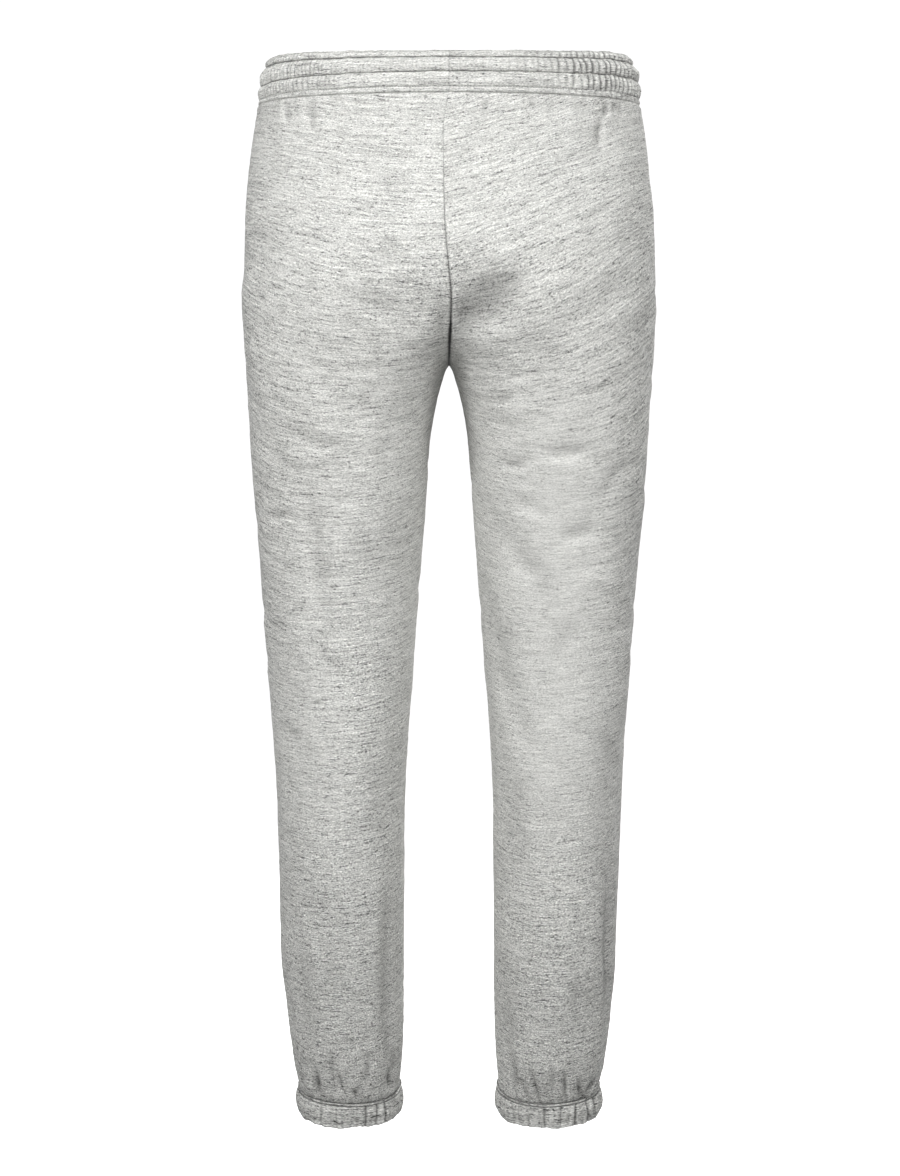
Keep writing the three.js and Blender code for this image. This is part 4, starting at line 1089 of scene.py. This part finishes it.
def cuff(hand, name):
    columns = 380
    back, front = (half(np.array([CUFF_SEAM]), s) for s in (1, -1))
    s0 = section(np.array([CUFF_SEAM]))
    bx, by, fx, fy = back["x"][0], back["y"][0], front["x"][0], front["y"][0]
    line = np.concatenate([np.stack([bx, by], -1)[:-1], np.stack([fx, fy], -1)[::-1][:-1]])
    ring, out, s = closed_line(line, columns)
    total, at_s = s[-1], s[:-1]
    heights = np.concatenate([[SEAM, 0.5, 1.0, 1.5, 1.9, 2.3, 2.7, 3.1, 3.6, 4.3], np.linspace(5.3, 21.3, 18), [22.2, 22.9, 23.3]])
    swell = curve(-CUFF[:, 0] + CUFF_SEAM, CUFF[:, 1])(heights)
    rng = np.random.default_rng(1300 + hand)
    down = ((heights - 2.7) / 20.6)[:, None]
    shape = ease((heights - 2.2) / 2.5)[:, None] * (1 - 0.35 * ease((heights - 18) / 6))[:, None]
    gather = np.zeros((len(heights), columns))
    seen = hand * ring[:, 0]
    marks = {1: ((78.0, 1.3, 0), (68.0, 1.5, -1), (60.4, 1.4, 1.5), (90, 0.6, 0), (104, 0.6, 1), (118, 0.7, -1)),
             -1: ((-116.0, 1.4, -1), (-127.0, 1.5, 4), (-133.0, 1.4, 3), (-88.0, 1.2, 1), (-103.0, 0.7, 0), (-66, 0.8, 1), (-74, 0.5, 1))}[hand]
    for x, deep, slant in marks:
        back_side = ring[:, 1] > 0
        k = int(np.argmin(np.where(back_side, np.abs(seen - x), 1e9)))
        direction = 1.0 if seen[(k + 1) % columns] > seen[k] else -1.0
        d = np.abs((at_s[None, :] - at_s[k] + direction * slant * (down - 0.5) + total / 2) % total - total / 2)
        gather -= 1.25 * deep * bell(d / 1.0) * shape
        gather += 0.32 * deep * bell((d - 3.0) / 1.8) * shape
    at = rng.uniform(0, 5)
    while at < total - 3:
        k = int(at / total * columns) % columns
        spare = 1.0 if ring[k, 1] < 12 else 0.6
        slant = rng.normal() * 1.6
        width = rng.uniform(1.0, 1.8)
        d = np.abs((at_s[None, :] - at - slant * (down - 0.5) + total / 2) % total - total / 2)
        strong = spare * rng.uniform(0.45, 1.15)
        gather -= strong * bell(d / width) * shape
        gather += 0.3 * strong * bell((d - 2.2 * width) / (1.3 * width)) * shape
        at += rng.uniform(4.5, 9.5)
    line_p = np.stack([ring[:, 0] * hand, ring[:, 1], np.zeros(columns)], -1)
    sway = 0.30 * uneven(line_p, 20, 90 + hand, 20) + 0.18 * uneven(line_p, 8, 92 + hand, 20)
    ridge = 0.25 * bell((heights - 1.35) / 0.7) - 1.1 * bell(heights / 0.6) - 0.7 * bell((heights - 2.75) / 0.5) + 0.25 * bell((heights - 5.2) / 1.9)
    bumps = 0.12 * uneven(np.stack([at_s, np.zeros(columns), np.zeros(columns)], -1), 3.2, 95, 20)
    full = 2.3 * ease(np.abs(ring[:, 1] - s0["mid"][0]) / 28)
    offset = np.maximum(swell[:, None], (full[None, :] + 0.3)) + gather + sway[None, :] * shape + ridge[:, None] + bumps[None, :] * bell((heights - 1.3) / 1.2)[:, None]
    lean = s0["drop"][0] * ring[:, 1]
    wave = 0.35 * uneven(line_p, 16, 97 + hand, 20) + 0.2 * uneven(line_p, 7, 98 + hand, 20)
    zz = CUFF_SEAM - heights[:, None] - lean[None, :] + wave[None, :] * ease((heights - 12) / 10)[:, None]
    place = ring + np.array([0.0, s0["mid"][0]])
    dip = ankle_dip(ring[:, 0], ease(place[:, 1] / 22), hand)[None, :]
    zz = zz + dip * ease(1 - heights / 22)[:, None]
    outer = np.concatenate([place[None, :, :] + out[None, :, :] * offset[..., None], zz[..., None]], -1)
    inner_h = np.concatenate([[22.4, 21.0], np.linspace(19, 3, 9), [SEAM]])
    swell_in = np.minimum(curve(-CUFF[:, 0] + CUFF_SEAM, CUFF[:, 1])(inner_h), 2.4) - CUFF_CLOTH
    gather_in = np.stack([np.interp(inner_h, heights, gather[:, k]) for k in range(columns)], 1)
    off_in = swell_in[:, None] + 0.45 * gather_in
    z_in = CUFF_SEAM - inner_h[:, None] - lean[None, :] + wave[None, :] * ease((inner_h - 12) / 10)[:, None] + dip * ease(1 - inner_h / 22)[:, None]
    inner = np.concatenate([place[None, :, :] + out[None, :, :] * off_in[..., None], z_in[..., None]], -1)
    a, b = outer[-1], inner[0]
    roll = []
    for k in (1, 2, 3, 4):
        w = math.pi * k / 5
        roll.append((a + b) / 2 + (a - b) / 2 * math.cos(w) - np.array([0, 0, 1.0]) * math.sin(w) * 0.9)
    grid = np.concatenate([outer, np.stack(roll), inner])
    profile = np.concatenate([[0], np.cumsum(np.linalg.norm(np.diff(np.concatenate([grid, grid[:1]])[:, 0], axis=0), axis=1))])
    grid = grid * [hand, 1, 1]
    inner_flag = np.concatenate([np.zeros((len(outer) + 2, columns)), np.ones((len(grid) - len(outer) - 2, columns))])
    # painted shade in the troughs of the gathers and along the seam and the stitch line
    hollow = np.zeros(grid.shape[:2])
    hollow[:len(outer)] = np.clip(np.clip(-gather * 0.6, 0, 0.8) + (1.0 * bell((heights - 0.1) / 0.65) + 0.95 * bell((heights - 2.75) / 0.6))[:, None], 0, 1)
    obj = ring_object(f"{name}_cloth", grid, s, profile, 2, inner_flag.ravel(), hollow.ravel(), cuff_cloth, shift=(900 + 400 * hand, 520), flip=(hand > 0) == CUFF_FLIP)
    n = np.concatenate([out * [hand, 1], np.zeros((columns, 1))], -1)
    paths = []
    for line_h in (0.35, 2.45):
        r = int(np.argmin(np.abs(heights - line_h)))
        paths.append((grid[r] - n * 0.02, n))
    return obj, stitches(f"{name}_stitches", paths, yarn, length=1.8, gap=0.7, radius=0.18)


WAIST_FLIP = False
CUFF_FLIP = True
band, band_thread = waistband()
cuff_l, thread_l = cuff(1, "cuff_left")
cuff_r, thread_r = cuff(-1, "cuff_right")


def area_of(obj):
    """Area of a closed wall's one side, in square metres."""
    mesh = obj.data
    area = np.zeros(len(mesh.polygons), np.float32)
    mesh.polygons.foreach_get("area", area)
    return float(area.sum()) / 2


def volume_of(obj):
    mesh = obj.data
    mesh.calc_loop_triangles()
    tri = np.zeros(len(mesh.loop_triangles) * 3, np.int32)
    mesh.loop_triangles.foreach_get("vertices", tri)
    co = np.zeros(len(mesh.vertices) * 3, np.float32)
    mesh.vertices.foreach_get("co", co)
    c = co.reshape(-1, 3)[tri.reshape(-1, 3)].astype(float)
    return float(np.einsum("ij,ij->i", c[:, 0], np.cross(c[:, 1], c[:, 2])).sum() / 6)


NODES = {
    "back_left": (made["back_left"], "cloth"), "back_right": (made["back_right"], "cloth"),
    "front_left": (made["front_left"], "cloth"), "front_right": (made["front_right"], "cloth"),
    "waistband": (band, "band_cloth"), "cuff_left": (cuff_l, "cuff_cloth"), "cuff_right": (cuff_r, "cuff_cloth"),
}
for node_name, (piece, slot_name) in NODES.items():
    print("piece", node_name, "area", round(area_of(piece), 4), "volume_ml", round(volume_of(piece) * 1e6, 1),
          "triangles", sum(len(p.vertices) - 2 for p in piece.data.polygons))
    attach(piece, "root")
    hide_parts(node_name)
for piece, slot_name in ((band_thread, "band_cloth"), (thread_l, "cuff_cloth"), (thread_r, "cuff_cloth")):
    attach(piece, "root")

# ------------------------------------------------------------------- stage
def plain(name, colour, glow):
    m = bpy.data.materials.new(name)
    m.use_nodes = True
    shader = m.node_tree.nodes["Principled BSDF"]
    shader.inputs["Base Color"].default_value = (*colour, 1)
    shader.inputs["Roughness"].default_value = 1.0
    shader.inputs["Specular IOR Level"].default_value = 0.0
    shader.inputs["Emission Color"].default_value = (1, 1, 1, 1)
    shader.inputs["Emission Strength"].default_value = glow
    return m


def disc(name, radius, z, material, steps=96):
    mesh = bpy.data.meshes.new(name)
    ring = [(radius * math.cos(2 * math.pi * k / steps), radius * math.sin(2 * math.pi * k / steps), z) for k in range(steps)]
    mesh.from_pydata(ring, [], [list(range(steps))])
    mesh.materials.append(material)
    obj = bpy.data.objects.new(name, mesh)
    bpy.context.scene.collection.objects.link(obj)
    return obj


floor = disc("floor", 9.0, -1.045, plain("pale_floor", (0.82, 0.82, 0.82), 0.95))
floor.visible_diffuse = False
backdrop = bpy.data.meshes.new("backdrop")
steps, tall = 96, 9.0
wall_points = [(8.9 * math.cos(2 * math.pi * k / steps), 8.9 * math.sin(2 * math.pi * k / steps), z) for z in (-1.045, tall) for k in range(steps)]
wall_faces = [(k, (k + 1) % steps, steps + (k + 1) % steps, steps + k) for k in range(steps)] + [tuple(range(steps, 2 * steps))]
backdrop.from_pydata(wall_points, [], wall_faces)
backdrop.materials.append(plain("pale_wall", (0.0, 0.0, 0.0), 1.05))
wall = bpy.data.objects.new("backdrop", backdrop)
bpy.context.scene.collection.objects.link(wall)
wall.visible_diffuse = wall.visible_glossy = wall.visible_shadow = wall.visible_transmission = False

world = bpy.data.worlds.new("soft_world")
bpy.context.scene.world = world
world.use_nodes = True
world.node_tree.nodes["Background"].inputs["Color"].default_value = (1.0, 1.0, 1.0, 1)
world.node_tree.nodes["Background"].inputs["Strength"].default_value = 0.29


def area_light(name, where, to, size, power, spread=180):
    from mathutils import Vector
    data = bpy.data.lights.new(name, "AREA")
    data.shape, data.size, data.size_y = "RECTANGLE", size[0], size[1]
    data.energy, data.spread = power, math.radians(spread)
    obj = bpy.data.objects.new(name, data)
    bpy.context.scene.collection.objects.link(obj)
    obj.location = where
    obj.rotation_euler = (Vector(to) - Vector(where)).to_track_quat("-Z", "Y").to_euler()
    obj.visible_camera = False
    return obj


area_light("key", (0.42, 2.2, 1.55), (0.0, 0.1, -0.32), (1.1, 0.8), 2.90, spread=48)
area_light("side_left", (1.4, 1.7, 0.95), (0.03, 0.0, -0.38), (0.8, 0.9), 2.35, spread=54)
area_light("side_right", (-1.5, 1.55, 0.95), (-0.03, 0.0, -0.38), (0.8, 0.9), 1.8, spread=54)
area_light("low", (0.0, 2.7, -0.75), (0.0, 0.0, -0.2), (1.3, 0.25), 0.62, spread=38)
area_light("fill_front", (-0.9, -2.4, 1.3), (0, 0, -0.45), (1.8, 1.4), 75)

camera_data = bpy.data.cameras.new("camera")
camera_data.sensor_fit = "AUTO"
camera_data.sensor_width = 24
camera_data.lens = 24 * 3617 / 1176
camera_data.clip_start, camera_data.clip_end = 0.05, 60
camera = bpy.data.objects.new("camera", camera_data)
camera.location = (-0.00094, 3.4, -0.472)
camera.rotation_euler = (math.radians(90), 0, math.radians(180))
bpy.context.scene.collection.objects.link(camera)
bpy.context.scene.camera = camera

bpy.context.scene.view_settings.view_transform = "Standard"
bpy.context.scene.view_settings.look = "None"
bpy.context.scene.view_settings.exposure = 0.0
bpy.context.scene.view_settings.gamma = 1.0

bpy.context.view_layer.update()
